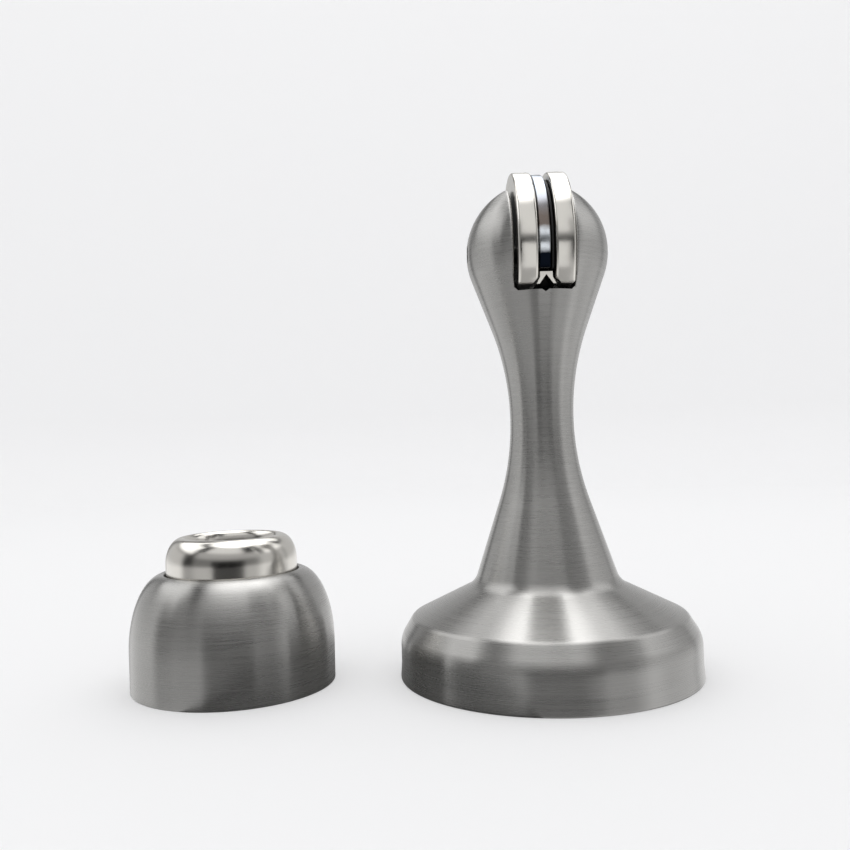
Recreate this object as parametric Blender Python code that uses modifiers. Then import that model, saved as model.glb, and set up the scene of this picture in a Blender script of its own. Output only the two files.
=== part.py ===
"""Floor door holder: a turned post with a magnet in its head, and the sprung catch that goes on the door.

Metres, +Z up. The origin is the middle of the post's underside, on the floor. The magnet faces -Y.
The catch stands beside the post, on the face that goes against the door.
"""

from math import acos, asin, atan2, cos, pi, radians, sin, sqrt, tan

import bmesh
import bpy
import numpy as np
from mathutils import Matrix, Vector

MM = 0.001
GAP = 0.3 * MM  # kept between pieces that touch

# Post: outer shape
SKIRT_RADIUS = 24.8 * MM
FOOT_FLARE = 0.2 * MM
FOOT_FLARE_HEIGHT = 2.5 * MM
SHOULDER_HEIGHT = 9.0 * MM
SHOULDER_ROUND = 5.0 * MM
STEM_FOOT_HEIGHT = 15.2 * MM
STEM_FOOT_FILLET = 5.0 * MM
STEM_SLOPE = radians(18.6)
NECK_RADIUS = 5.3 * MM
NECK_HEIGHT = 42.6 * MM
NECK_SWEEP_RADIUS = 43.6 * MM  # limited where it would miss the ball
BALL_RADIUS = 11.85 * MM
BALL_HEIGHT = 70.3 * MM

# Post: inside
SKIRT_WALL = 2.2 * MM
RECESS_DEPTH = 5.0 * MM
RECESS_CROWN = 8.6 * MM
NUT_POCKET_TOP = 11.0 * MM

# Head slot
SLOT_SIDE_CLEARANCE = 0.45 * MM  # each side of the magnet pack
SLOT_FLOOR_DROP = 7.5 * MM  # below the ball's centre
SLOT_CORNER = 0.6 * MM
SLOT_NOTCH_WIDTH = 1.2 * MM
SLOT_NOTCH_DEPTH = 0.4 * MM

# Magnet pack
PACK_PROUD = 1.55 * MM  # beyond the ball
PLATE_THICKNESS = 3.1 * MM
PLATE_SPACING = 2.7 * MM
PACK_FLOOR_CLEARANCE = 0.6 * MM
PLATE_EDGE_ROUND = 0.45 * MM
PLATE_FOOT_CHAMFER = 0.9 * MM
MAGNET_THICKNESS = 1.6 * MM
MAGNET_SETBACK = 0.4 * MM  # from the plates' round edge
MAGNET_FLOOR_DROP = 4.6 * MM
MAGNET_EDGE_ROUND = 0.2 * MM
PACK_GLUE_GAP = 0.15 * MM
SPACER_THICKNESS = 0.5 * MM
SPACER_SETBACK = 1.2 * MM
KEEPER_SPLAY = 0.55 * MM  # how far each foot reaches out under its plate
KEEPER_FOOT_FLAT = 0.5 * MM
KEEPER_NOTCH_HEIGHT = 1.5 * MM
PIN_RADIUS = 1.5 * MM
PIN_END_SETBACK = 0.1 * MM
SLEEVE_WALL = 0.7 * MM

# Floor fixing inside the post's foot
FLOOR_PLATE_CLEARANCE = 0.4 * MM  # inside the skirt
FLOOR_PLATE_THICKNESS = 2.4 * MM
FLOOR_BOSS_WALL = 2.8 * MM
FLOOR_BOSS_HEIGHT = 4.5 * MM
FLOOR_HOLE_CIRCLE = 30.0 * MM
FLOOR_HOLE_COUNT = 3
SCREW_HOLE_RADIUS = 2.3 * MM
COUNTERSINK_RADIUS = 4.2 * MM
STUD_RADIUS = 3.9 * MM
STUD_FLOOR = 1.5 * MM
STUD_TOP = 27.0 * MM
LOCK_WASHER_WIDTH = 2.2 * MM
LOCK_WASHER_THICKNESS = 0.9 * MM
LOCK_NUT_WALL = 1.8 * MM
LOCK_NUT_HEIGHT = 3.6 * MM

# Catch: shell
CATCH_X = -52.8 * MM
CATCH_Y = -0.6 * MM
CATCH_FOOT_TAPER = 0.05 * MM
CATCH_RADIUS = 16.75 * MM
CATCH_WALL_HEIGHT = 6.6 * MM
CATCH_LIP_HEIGHT = 18.7 * MM
SHELL_WALL = 1.2 * MM

# Catch: strike cup
CUP_RADIUS = 10.75 * MM
CUP_STAND = 5.8 * MM  # above the shell's lip
CUP_RIM_RUN = 2.75 * MM  # from the outer wall in to the crest
CUP_RIM_RISE = 4.2 * MM
CUP_MOUTH_RUN = 1.1 * MM  # from the crest in to the recess wall
CUP_MOUTH_RISE = 2.2 * MM
CUP_RECESS_DEPTH = 8.3 * MM
CUP_FLOOR_THICKNESS = 2.0 * MM
CUP_FLANGE_WIDTH = 1.65 * MM
CUP_FLANGE_CLEARANCE = 0.4 * MM  # under the shell

# Catch: base, screw and spring
BASE_THICKNESS = 2.4 * MM
BASE_HUB_WALL = 2.3 * MM
BASE_HUB_HEIGHT = 7.0 * MM
BASE_HOLE_CIRCLE = 21.0 * MM
BASE_HOLE_COUNT = 2
BASE_HOLE_RADIUS = 1.9 * MM
BASE_COUNTERSINK_RADIUS = 3.5 * MM
SCREW_RADIUS = 2.0 * MM
SCREW_FLOOR = 1.5 * MM
SCREW_HEAD_OVERHANG = 2.0 * MM
SCREW_HEAD_HEIGHT = 1.9 * MM
SCREW_CROSS_WIDTH = 0.9 * MM
SCREW_CROSS_SPAN = 4.2 * MM
SCREW_CROSS_DEPTH = 1.2 * MM
WASHER_WIDTH = 2.9 * MM
WASHER_THICKNESS = 0.6 * MM
BUSH_WALL = 0.8 * MM
BUSH_FLANGE_WIDTH = 2.3 * MM
BUSH_FLANGE_THICKNESS = 0.8 * MM
SPRING_CLEARANCE = 0.8 * MM  # round the bush's flange
SPRING_WIRE_RADIUS = 0.5 * MM
SPRING_TURNS = 5.5

# Facets round a turned piece
LARGE_STEPS = 40
SMALL_STEPS = 24

# Sizes that follow from those above
PACK_THICKNESS = PLATE_SPACING + 2 * PLATE_THICKNESS
SLOT_WIDTH = PACK_THICKNESS + 2 * SLOT_SIDE_CLEARANCE
PACK_RADIUS = BALL_RADIUS + PACK_PROUD
PACK_FOOT_DROP = SLOT_FLOOR_DROP - PACK_FLOOR_CLEARANCE
STUD_BORE_RADIUS = STUD_RADIUS + GAP
LOCK_NUT_CORNER = (STUD_BORE_RADIUS + LOCK_NUT_WALL) / cos(pi / 6)
CUP_TOP = CATCH_LIP_HEIGHT + CUP_STAND
CUP_FLOOR_TOP = CUP_TOP - CUP_RECESS_DEPTH
CUP_UNDERSIDE = CUP_FLOOR_TOP - CUP_FLOOR_THICKNESS
CATCH_LIP_RADIUS = CUP_RADIUS + GAP
SCREW_BORE_RADIUS = SCREW_RADIUS + GAP
BUSH_RADIUS = SCREW_BORE_RADIUS + BUSH_WALL
BUSH_FLANGE_RADIUS = BUSH_RADIUS + BUSH_FLANGE_WIDTH


# ---------------------------------------------------------------- outlines


def arc(centre, radius, start, end, steps):
    """Points on a circular arc from one angle to another, both ends included."""
    angles = np.linspace(start, end, steps)
    return [(centre[0] + radius * cos(a), centre[1] + radius * sin(a)) for a in angles]


def rounded(corners, steps=6):
    """An outline whose corners (x, z, fillet radius) are rounded to tangent arcs."""
    points = [corners[0][:2]]
    for before, corner, after in zip(corners, corners[1:], corners[2:]):
        fillet = corner[2]
        here = Vector(corner[:2])
        if fillet <= 0:
            points.append(corner[:2])
            continue
        back = (Vector(before[:2]) - here).normalized()
        ahead = (Vector(after[:2]) - here).normalized()
        half = acos(max(-1.0, min(1.0, back.dot(ahead)))) / 2
        centre = here + (back + ahead).normalized() * (fillet / sin(half))
        reach = fillet / tan(half)
        first = here + back * reach - centre
        last = here + ahead * reach - centre
        start = atan2(first.y, first.x)
        sweep = (atan2(last.y, last.x) - start + pi) % (2 * pi) - pi
        points += arc(centre, fillet, start, start + sweep, steps)
    points.append(corners[-1][:2])
    return points


def post_outline():
    """Outer profile of the post, from the top of the ball down to the foot's edge.

    The neck is an arc on each side of its waist. The upper one meets the ball on their common
    tangent, and the lower one runs into a straight cone that lands on the sloping shoulder.
    """
    rise = BALL_HEIGHT - NECK_HEIGHT
    touching = (NECK_RADIUS**2 + rise**2 - BALL_RADIUS**2) / (2 * (BALL_RADIUS - NECK_RADIUS))
    upper_sweep = min(NECK_SWEEP_RADIUS, 0.99 * touching)
    upper_centre = (NECK_RADIUS + upper_sweep, NECK_HEIGHT)
    distance = sqrt(upper_centre[0] ** 2 + rise**2)
    tangent = atan2(-rise, upper_centre[0]) + acos((BALL_RADIUS + upper_sweep) / distance)
    ball = arc((0, BALL_HEIGHT), BALL_RADIUS, pi / 2, tangent, 15)
    upper = arc(upper_centre, upper_sweep, pi + tangent, pi, 7)
    lower_centre = (NECK_RADIUS + NECK_SWEEP_RADIUS, NECK_HEIGHT)
    lower = arc(lower_centre, NECK_SWEEP_RADIUS, pi, pi + STEM_SLOPE, 6)
    cone_top = lower[-1]
    cone_drop = cone_top[1] - STEM_FOOT_HEIGHT
    stem_foot = (cone_top[0] + cone_drop * tan(STEM_SLOPE), STEM_FOOT_HEIGHT)
    foot = rounded(
        [
            (*cone_top, 0),
            (*stem_foot, STEM_FOOT_FILLET),
            (SKIRT_RADIUS, SHOULDER_HEIGHT, SHOULDER_ROUND),
            (SKIRT_RADIUS, FOOT_FLARE_HEIGHT, 0),
            (SKIRT_RADIUS + FOOT_FLARE, 0, 0),
        ]
    )
    return ball + upper[1:] + lower[1:] + foot[1:]


def dome_axes(inset):
    """Half-axes of the shell's elliptic quarter, across and up, moved in by the wall."""
    across = CATCH_RADIUS - CATCH_LIP_RADIUS - inset
    up = CATCH_LIP_HEIGHT - CATCH_WALL_HEIGHT - inset
    return across, up


def dome_outline(inset, steps):
    """Catch shell profile: an elliptic quarter from the lip down to the side wall."""
    across, up = dome_axes(inset)
    return [
        (CATCH_LIP_RADIUS + across * cos(a), CATCH_WALL_HEIGHT + up * sin(a))
        for a in np.linspace(pi / 2, 0, steps)
    ]


def dome_height(radius, inset):
    """Height of that profile at a radius outside the lip."""
    across, up = dome_axes(inset)
    return CATCH_WALL_HEIGHT + up * sqrt(1 - ((radius - CATCH_LIP_RADIUS) / across) ** 2)


def cut_circle(radius, drop, steps):
    """A disc's outline cut off flat, drop below its centre, for turning to stand upright."""
    edge = asin(drop / radius)
    return arc((0, 0), radius, -edge, pi + edge, steps)


# ---------------------------------------------------------------- making objects


def clear_scene():
    for existing in list(bpy.data.objects):
        bpy.data.objects.remove(existing, do_unlink=True)


def new_collection(name, hidden=False):
    made = bpy.data.collections.new(name)
    bpy.context.scene.collection.children.link(made)
    made.hide_render = hidden
    return made


def material(name, colour, roughness, metallic):
    """A Principled material with one colour."""
    made = bpy.data.materials.new(name)
    made.use_nodes = True
    shader = made.node_tree.nodes["Principled BSDF"]
    shader.inputs["Base Color"].default_value = (*colour, 1)
    shader.inputs["Roughness"].default_value = roughness
    shader.inputs["Metallic"].default_value = metallic
    made.diffuse_color = (*colour, 1)
    return made


def object_from(name, mesh, collection):
    made = bpy.data.objects.new(name, mesh)
    collection.objects.link(made)
    return made


def turned(name, outline, collection, steps=SMALL_STEPS):
    """A solid of revolution about Z. The outline runs down the outer side, then back up inside."""
    mesh = bpy.data.meshes.new(name)
    count = len(outline)
    closed = outline[0][0] > 0
    edges = [(i, i + 1) for i in range(count - 1)]
    if closed:
        edges.append((count - 1, 0))
    mesh.from_pydata([(x, 0, z) for x, z in outline], edges, [])
    made = object_from(name, mesh, collection)
    screw = made.modifiers.new("turn", "SCREW")
    screw.axis = "Z"
    screw.steps = steps
    screw.render_steps = steps
    screw.use_merge_vertices = True
    screw.merge_threshold = 0.00001
    return made


def prism(name, outlines, depth, collection, facing="Y"):
    """A flat outline, holes included, given a depth about its plane. It faces X, Y or Z."""
    turns = {
        "Z": Matrix.Identity(4),
        "Y": Matrix.Rotation(pi / 2, 4, "X"),
        "X": Matrix(((0, 0, 1, 0), (1, 0, 0, 0), (0, 1, 0, 0), (0, 0, 0, 1))),
    }
    curve = bpy.data.curves.new(name, "CURVE")
    curve.dimensions = "2D"
    curve.fill_mode = "BOTH"
    curve.extrude = depth / 2
    for outline in outlines:
        spline = curve.splines.new("POLY")
        spline.points.add(len(outline) - 1)
        for point, (x, y) in zip(spline.points, outline):
            point.co = (x, y, 0, 1)
        spline.use_cyclic_u = True
    drawn = object_from(name + "_outline", curve, collection)
    bpy.context.view_layer.update()
    made = object_from(name, welded_mesh(name, drawn, turns[facing]), collection)
    bpy.data.objects.remove(drawn, do_unlink=True)
    return made


def welded_mesh(name, drawn, turn):
    """The mesh of a drawn curve with its caps welded on, turned to face its way."""
    graph = bpy.context.evaluated_depsgraph_get()
    mesh = bpy.data.meshes.new_from_object(drawn.evaluated_get(graph))
    mesh.name = name
    work = bmesh.new()
    work.from_mesh(mesh)
    bmesh.ops.remove_doubles(work, verts=work.verts, dist=0.000001)
    bmesh.ops.transform(work, matrix=turn, verts=work.verts)
    bmesh.ops.recalc_face_normals(work, faces=work.faces)
    work.to_mesh(mesh)
    work.free()
    return mesh


def rod(name, radius, length, collection, facing="Z", steps=SMALL_STEPS):
    """A plain cylinder about its own middle."""
    mesh = bpy.data.meshes.new(name)
    work = bmesh.new()
    turn = Matrix.Rotation(pi / 2, 4, "Y") if facing == "X" else Matrix.Identity(4)
    bmesh.ops.create_cone(
        work,
        cap_ends=True,
        segments=steps,
        radius1=radius,
        radius2=radius,
        depth=length,
        matrix=turn,
    )
    work.to_mesh(mesh)
    work.free()
    return object_from(name, mesh, collection)


def cut(target, cutter):
    """Takes the cutter's shape out of the target and hides the cutter."""
    step = target.modifiers.new("cut_" + cutter.name, "BOOLEAN")
    step.operation = "DIFFERENCE"
    step.solver = "EXACT"
    step.object = cutter
    cutter.hide_render = True
    cutter.display_type = "WIRE"


def soften(target, width, segments=2):
    """Rounds the sharp edges."""
    bevel = target.modifiers.new("round_edges", "BEVEL")
    bevel.width = width
    bevel.segments = segments
    bevel.limit_method = "ANGLE"
    bevel.angle_limit = radians(50)


def finish(target, surface, parent=None, place=(0, 0, 0)):
    """Gives a piece its material, smooth shading and its place under its parent."""
    target.data.materials.clear()
    target.data.materials.append(surface)
    if target.type == "MESH":
        target.data.shade_smooth()
    target.location = place
    target.parent = parent


def frame_empty(name, place, parent, collection):
    made = bpy.data.objects.new(name, None)
    made.empty_display_size = 0.005
    made.location = place
    made.parent = parent
    collection.objects.link(made)
    return made


# ---------------------------------------------------------------- post


def slot_outline():
    """Cross-section of the head's slot: chamfered floor corners and a small notch in the middle."""
    half = SLOT_WIDTH / 2
    top = 2 * BALL_RADIUS
    floor = -SLOT_FLOOR_DROP
    notch = SLOT_NOTCH_WIDTH / 2
    return [
        (-half, top),
        (-half, floor + SLOT_CORNER),
        (-half + SLOT_CORNER, floor),
        (-notch, floor),
        (0, floor - SLOT_NOTCH_DEPTH),
        (notch, floor),
        (half - SLOT_CORNER, floor),
        (half, floor + SLOT_CORNER),
        (half, top),
    ]


def make_post_body(parts, cutters, steel):
    pocket = LOCK_NUT_CORNER + 4 * GAP
    inner_skirt = SKIRT_RADIUS - SKIRT_WALL
    inside = [
        (inner_skirt, 0),
        (inner_skirt, RECESS_DEPTH),
        (pocket, RECESS_CROWN),
        (pocket, NUT_POCKET_TOP),
        (STUD_BORE_RADIUS, NUT_POCKET_TOP),
        (STUD_BORE_RADIUS, STUD_TOP + 3 * GAP),
        (0, STUD_TOP + 3 * GAP),
    ]
    body = turned("post_body", post_outline() + inside, parts, LARGE_STEPS)
    slot = prism("slot_cutter", [slot_outline()], 3 * BALL_RADIUS, cutters, "Y")
    slot.location.z = BALL_HEIGHT
    pin_hole = rod("pin_hole_cutter", PIN_RADIUS + GAP, 3 * BALL_RADIUS, cutters, "X", 20)
    pin_hole.location.z = BALL_HEIGHT
    cut(body, slot)
    cut(body, pin_hole)
    finish(body, steel)


def make_pivot_pin(parts, steel):
    length = 2 * (BALL_RADIUS - PIN_END_SETBACK - 0.5 * GAP)
    pin = rod("pivot_pin", PIN_RADIUS, length, parts, "X", 20)
    finish(pin, steel, place=(0, 0, BALL_HEIGHT))


def sleeve_hole(name, cutters, pack):
    hole = rod(name, PIN_RADIUS + SLEEVE_WALL + 2 * GAP, SLOT_WIDTH, cutters, "X", 20)
    hole.parent = pack
    return hole


def make_pole_plate(name, side, parts, cutters, pack, nickel):
    """One pole plate: an upright disc cut flat below, its inner foot corner chamfered."""
    middle = side * (PLATE_SPACING + PLATE_THICKNESS) / 2
    outline = cut_circle(PACK_RADIUS, PACK_FOOT_DROP, 33)
    plate = prism(name, [outline], PLATE_THICKNESS, parts, "X")
    soften(plate, PLATE_EDGE_ROUND)
    inner_face = -side * PLATE_THICKNESS / 2
    reach = PLATE_FOOT_CHAMFER
    wedge = [
        (inner_face + side * 2 * reach, -PACK_FOOT_DROP - reach),
        (inner_face - side * reach, -PACK_FOOT_DROP - reach),
        (inner_face - side * reach, -PACK_FOOT_DROP + 2 * reach),
    ]
    chamfer = prism(name + "_chamfer_cutter", [wedge], 3 * PACK_RADIUS, cutters, "Y")
    chamfer.location.x = middle
    chamfer.parent = pack
    cut(plate, sleeve_hole(name + "_hole_cutter", cutters, pack))
    cut(plate, chamfer)
    finish(plate, nickel, pack, (middle, 0, 0))


def make_pack_disc(name, size, middle, parts, cutters, pack, surface):
    """A thin disc between the pole plates, cut flat below, with a hole for the sleeve."""
    radius, thickness, edge = size
    outline = cut_circle(radius, MAGNET_FLOOR_DROP, 31)
    disc = prism(name, [outline], thickness, parts, "X")
    if edge:
        soften(disc, edge, 1)
    cut(disc, sleeve_hole(name + "_hole_cutter", cutters, pack))
    finish(disc, surface, pack, (middle, 0, 0))


def make_keeper(parts, pack, nickel):
    """Folded strip under the magnet: flat-sided, with splayed feet and an inverted V between them."""
    top = -MAGNET_FLOOR_DROP - GAP
    foot = -PACK_FOOT_DROP
    half = PLATE_SPACING / 2 - GAP
    splay = half + KEEPER_SPLAY
    notch = splay - KEEPER_FOOT_FLAT
    outline = [
        (-half, top),
        (-half, foot + 2 * KEEPER_SPLAY),
        (-splay, foot),
        (-notch, foot),
        (0, foot + KEEPER_NOTCH_HEIGHT),
        (notch, foot),
        (splay, foot),
        (half, foot + 2 * KEEPER_SPLAY),
        (half, top),
    ]
    reach = 2 * sqrt(PACK_RADIUS**2 - PACK_FOOT_DROP ** 2) - 4 * GAP
    keeper = prism("magnet_keeper", [outline], reach, parts, "Y")
    finish(keeper, nickel, pack)


def make_pin_sleeve(parts, pack, brass):
    inner = PIN_RADIUS + GAP
    outer = inner + SLEEVE_WALL
    half = PACK_THICKNESS / 2 - GAP
    outline = [(outer, half), (outer, -half), (inner, -half), (inner, half)]
    sleeve = turned("pin_sleeve", outline, parts, 20)
    sleeve.rotation_euler.y = pi / 2
    finish(sleeve, brass, pack)


def make_magnet_pack(parts, cutters, surfaces):
    """Everything that rocks on the pivot pin. The pack's empty is on the rocking axis."""
    pack = frame_empty("magnet_pack_axis", (0, 0, BALL_HEIGHT), None, parts)
    make_pole_plate("pole_plate_left", -1, parts, cutters, pack, surfaces["nickel"])
    make_pole_plate("pole_plate_right", 1, parts, cutters, pack, surfaces["nickel"])
    magnet_middle = -PLATE_SPACING / 2 + PACK_GLUE_GAP + MAGNET_THICKNESS / 2
    spacer_middle = PLATE_SPACING / 2 - PACK_GLUE_GAP - SPACER_THICKNESS / 2
    magnet_size = (PACK_RADIUS - MAGNET_SETBACK, MAGNET_THICKNESS, MAGNET_EDGE_ROUND)
    make_pack_disc("magnet", magnet_size, magnet_middle, parts, cutters, pack, surfaces["magnet"])
    spacer_size = (PACK_RADIUS - SPACER_SETBACK, SPACER_THICKNESS, 0)
    make_pack_disc("magnet_spacer", spacer_size, spacer_middle, parts, cutters, pack, surfaces["black"])
    make_keeper(parts, pack, surfaces["nickel"])
    make_pin_sleeve(parts, pack, surfaces["brass"])


# ---------------------------------------------------------------- floor fixing


def countersunk_cutter(name, place, plate_top, hole, sink, cutters):
    """A through hole with a countersink that opens at the plate's upper face."""
    slope = sink - hole
    outline = [
        (0, plate_top + 1 * MM),
        (sink + 1 * MM, plate_top + 1 * MM),
        (hole, plate_top - slope),
        (hole, -1 * MM),
        (0, -1 * MM),
    ]
    cutter = turned(name, outline, cutters, 20)
    cutter.location = place
    return cutter


def hole_places(circle, count, first):
    angles = [first + 2 * pi * i / count for i in range(count)]
    return [(circle / 2 * cos(a), circle / 2 * sin(a), 0) for a in angles]


def make_floor_plate(parts, cutters, zinc):
    """Disc with a blind threaded boss, and screw holes in a ring round it."""
    boss = STUD_BORE_RADIUS + FLOOR_BOSS_WALL
    rim = SKIRT_RADIUS - SKIRT_WALL - FLOOR_PLATE_CLEARANCE
    outline = [
        (boss, FLOOR_BOSS_HEIGHT),
        (boss, FLOOR_PLATE_THICKNESS),
        (rim, FLOOR_PLATE_THICKNESS),
        (rim, 0),
        (0, 0),
        (0, STUD_FLOOR - GAP),
        (STUD_BORE_RADIUS, STUD_FLOOR - GAP),
        (STUD_BORE_RADIUS, FLOOR_BOSS_HEIGHT),
    ]
    plate = turned("floor_plate", outline, parts, LARGE_STEPS)
    for i, place in enumerate(hole_places(FLOOR_HOLE_CIRCLE, FLOOR_HOLE_COUNT, pi / 2)):
        name = f"floor_hole_cutter_{i + 1}"
        args = (FLOOR_PLATE_THICKNESS, SCREW_HOLE_RADIUS, COUNTERSINK_RADIUS, cutters)
        cut(plate, countersunk_cutter(name, place, *args))
    finish(plate, zinc)


def make_post_stud(parts, zinc):
    chamfer = 0.6 * MM
    outline = rounded(
        [
            (0, STUD_TOP, 0),
            (STUD_RADIUS - chamfer, STUD_TOP, 0),
            (STUD_RADIUS, STUD_TOP - chamfer, 0),
            (STUD_RADIUS, STUD_FLOOR, 0),
            (0, STUD_FLOOR, 0),
        ]
    )
    finish(turned("post_stud", outline, parts), zinc)


def ring(name, inner, outer, bottom, top, parts, steps=SMALL_STEPS):
    outline = [(outer, top), (outer, bottom), (inner, bottom), (inner, top)]
    return turned(name, outline, parts, steps)


def make_lock_washer(parts, surface):
    bottom = FLOOR_BOSS_HEIGHT + GAP
    top = bottom + LOCK_WASHER_THICKNESS
    outer = STUD_BORE_RADIUS + LOCK_WASHER_WIDTH
    washer = ring("lock_washer", STUD_BORE_RADIUS, outer, bottom, top, parts)
    finish(washer, surface)


def make_lock_nut(parts, surface):
    bottom = FLOOR_BOSS_HEIGHT + LOCK_WASHER_THICKNESS + 2 * GAP
    hexagon = arc((0, 0), LOCK_NUT_CORNER, 0, 5 * pi / 3, 6)
    hole = arc((0, 0), STUD_BORE_RADIUS, 0, 2 * pi * (1 - 1 / SMALL_STEPS), SMALL_STEPS)
    nut = prism("lock_nut", [hexagon, hole], LOCK_NUT_HEIGHT, parts, "Z")
    finish(nut, surface, place=(0, 0, bottom + LOCK_NUT_HEIGHT / 2))


# ---------------------------------------------------------------- catch


def make_catch_shell(parts, catch, steel):
    foot = CATCH_RADIUS - CATCH_FOOT_TAPER
    outside = dome_outline(0, 12) + [(foot, 0)]
    inside = dome_outline(SHELL_WALL, 7)[::-1]
    inner_foot = [(foot - SHELL_WALL, 0)]
    shell = turned("catch_shell", outside + inner_foot + inside, parts, LARGE_STEPS)
    finish(shell, steel, catch)


def make_strike_cup(parts, axis, nickel):
    """Cup with an elliptic rim and a deep recess, a flange that the shell's lip holds in, and a centre hole."""
    hole = BUSH_RADIUS + GAP
    flange = CUP_RADIUS + CUP_FLANGE_WIDTH
    flange_top = dome_height(flange, SHELL_WALL) - CUP_FLANGE_CLEARANCE
    crest = CUP_RADIUS - CUP_RIM_RUN
    inner_rim = [
        (crest + CUP_MOUTH_RUN * cos(a), CUP_TOP - CUP_MOUTH_RISE * (1 - sin(a)))
        for a in np.linspace(pi, pi / 2, 5)
    ]
    outer_rim = [
        (crest + CUP_RIM_RUN * cos(a), CUP_TOP - CUP_RIM_RISE * (1 - sin(a)))
        for a in np.linspace(pi / 2, 0, 8)
    ]
    lower = [
        (CUP_RADIUS, flange_top),
        (flange, flange_top),
        (flange, CUP_UNDERSIDE),
        (hole, CUP_UNDERSIDE),
        (hole, CUP_FLOOR_TOP),
        (crest - CUP_MOUTH_RUN, CUP_FLOOR_TOP),
    ]
    finish(turned("strike_cup", inner_rim + outer_rim[1:] + lower, parts, LARGE_STEPS), nickel, axis)


def make_guide_bush(parts, axis, nylon):
    """Flanged bush that lines the cup's centre hole and slides on the screw."""
    seat = CUP_UNDERSIDE - GAP
    outline = [
        (BUSH_RADIUS, CUP_FLOOR_TOP),
        (BUSH_RADIUS, seat),
        (BUSH_FLANGE_RADIUS, seat),
        (BUSH_FLANGE_RADIUS, seat - BUSH_FLANGE_THICKNESS),
        (SCREW_BORE_RADIUS, seat - BUSH_FLANGE_THICKNESS),
        (SCREW_BORE_RADIUS, CUP_FLOOR_TOP),
    ]
    finish(turned("guide_bush", outline, parts), nylon, axis)


def make_catch_base(parts, cutters, catch, zinc):
    """Disc with a blind threaded hub for the strike screw and two holes for the door screws."""
    hub = SCREW_BORE_RADIUS + BASE_HUB_WALL
    rim = CATCH_RADIUS - CATCH_FOOT_TAPER - SHELL_WALL - GAP
    outline = [
        (hub, BASE_HUB_HEIGHT),
        (hub, BASE_THICKNESS),
        (rim, BASE_THICKNESS),
        (rim, 0),
        (0, 0),
        (0, SCREW_FLOOR - GAP),
        (SCREW_BORE_RADIUS, SCREW_FLOOR - GAP),
        (SCREW_BORE_RADIUS, BASE_HUB_HEIGHT),
    ]
    base = turned("catch_base", outline, parts, LARGE_STEPS)
    for i, place in enumerate(hole_places(BASE_HOLE_CIRCLE, BASE_HOLE_COUNT, pi / 2)):
        name = f"base_hole_cutter_{i + 1}"
        args = (BASE_THICKNESS, BASE_HOLE_RADIUS, BASE_COUNTERSINK_RADIUS, cutters)
        cutter = countersunk_cutter(name, place, *args)
        cutter.parent = catch
        cut(base, cutter)
    finish(base, zinc, catch)


def make_strike_screw(parts, cutters, catch, zinc):
    """Pan-head screw with a cross recess, standing in the base's hub."""
    head_under = CUP_FLOOR_TOP + WASHER_THICKNESS + 2 * GAP
    head_top = head_under + SCREW_HEAD_HEIGHT
    head = SCREW_RADIUS + SCREW_HEAD_OVERHANG
    outline = rounded(
        [
            (0, head_top, 0),
            (head, head_top, SCREW_HEAD_HEIGHT / 2),
            (head, head_under, 0),
            (SCREW_RADIUS, head_under, 0),
            (SCREW_RADIUS, SCREW_FLOOR, 0),
            (0, SCREW_FLOOR, 0),
        ],
        5,
    )
    screw = turned("strike_screw", outline, parts)
    arm = SCREW_CROSS_SPAN / 2
    half = SCREW_CROSS_WIDTH / 2
    cross = [
        (arm, -half),
        (arm, half),
        (half, half),
        (half, arm),
        (-half, arm),
        (-half, half),
        (-arm, half),
        (-arm, -half),
        (-half, -half),
        (-half, -arm),
        (half, -arm),
        (half, -half),
    ]
    cutter = prism("cross_recess_cutter", [cross], 2 * SCREW_CROSS_DEPTH, cutters, "Z")
    cutter.location.z = head_top
    cutter.rotation_euler.z = radians(30)
    cutter.parent = catch
    cut(screw, cutter)
    finish(screw, zinc, catch)


def make_screw_washer(parts, catch, zinc):
    bottom = CUP_FLOOR_TOP + GAP
    top = bottom + WASHER_THICKNESS
    outer = SCREW_BORE_RADIUS + WASHER_WIDTH
    finish(ring("screw_washer", SCREW_BORE_RADIUS, outer, bottom, top, parts), zinc, catch)


def make_buffer_spring(parts, catch, spring_steel):
    """Coil spring round the hub. Its pitch eases to nothing at both ends, as on a closed-end spring."""
    low = BASE_THICKNESS + GAP + SPRING_WIRE_RADIUS
    high = CUP_UNDERSIDE - GAP - SPRING_WIRE_RADIUS
    radius = BUSH_FLANGE_RADIUS + SPRING_CLEARANCE + SPRING_WIRE_RADIUS
    steps = int(SPRING_TURNS * 14)
    curve = bpy.data.curves.new("buffer_spring", "CURVE")
    curve.dimensions = "3D"
    curve.bevel_depth = SPRING_WIRE_RADIUS
    curve.bevel_resolution = 2
    curve.use_fill_caps = True
    spline = curve.splines.new("POLY")
    spline.points.add(steps)
    rise = spring_rise(np.linspace(0, SPRING_TURNS, steps + 1))
    for i, point in enumerate(spline.points):
        angle = 2 * pi * SPRING_TURNS * i / steps
        height = low + (high - low) * rise[i]
        point.co = (radius * cos(angle), radius * sin(angle), height, 1)
    finish(object_from("buffer_spring", curve, parts), spring_steel, catch)


def spring_rise(turns):
    """Share of the spring's height reached after each number of turns."""
    end_turn_pitch = 0.48
    pitch = np.clip(np.minimum(turns, SPRING_TURNS - turns) / 0.75, end_turn_pitch, 1)
    steps = (pitch[1:] + pitch[:-1]) / 2 * np.diff(turns)
    climbed = np.concatenate([[0], np.cumsum(steps)])
    return climbed / climbed[-1]


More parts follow.
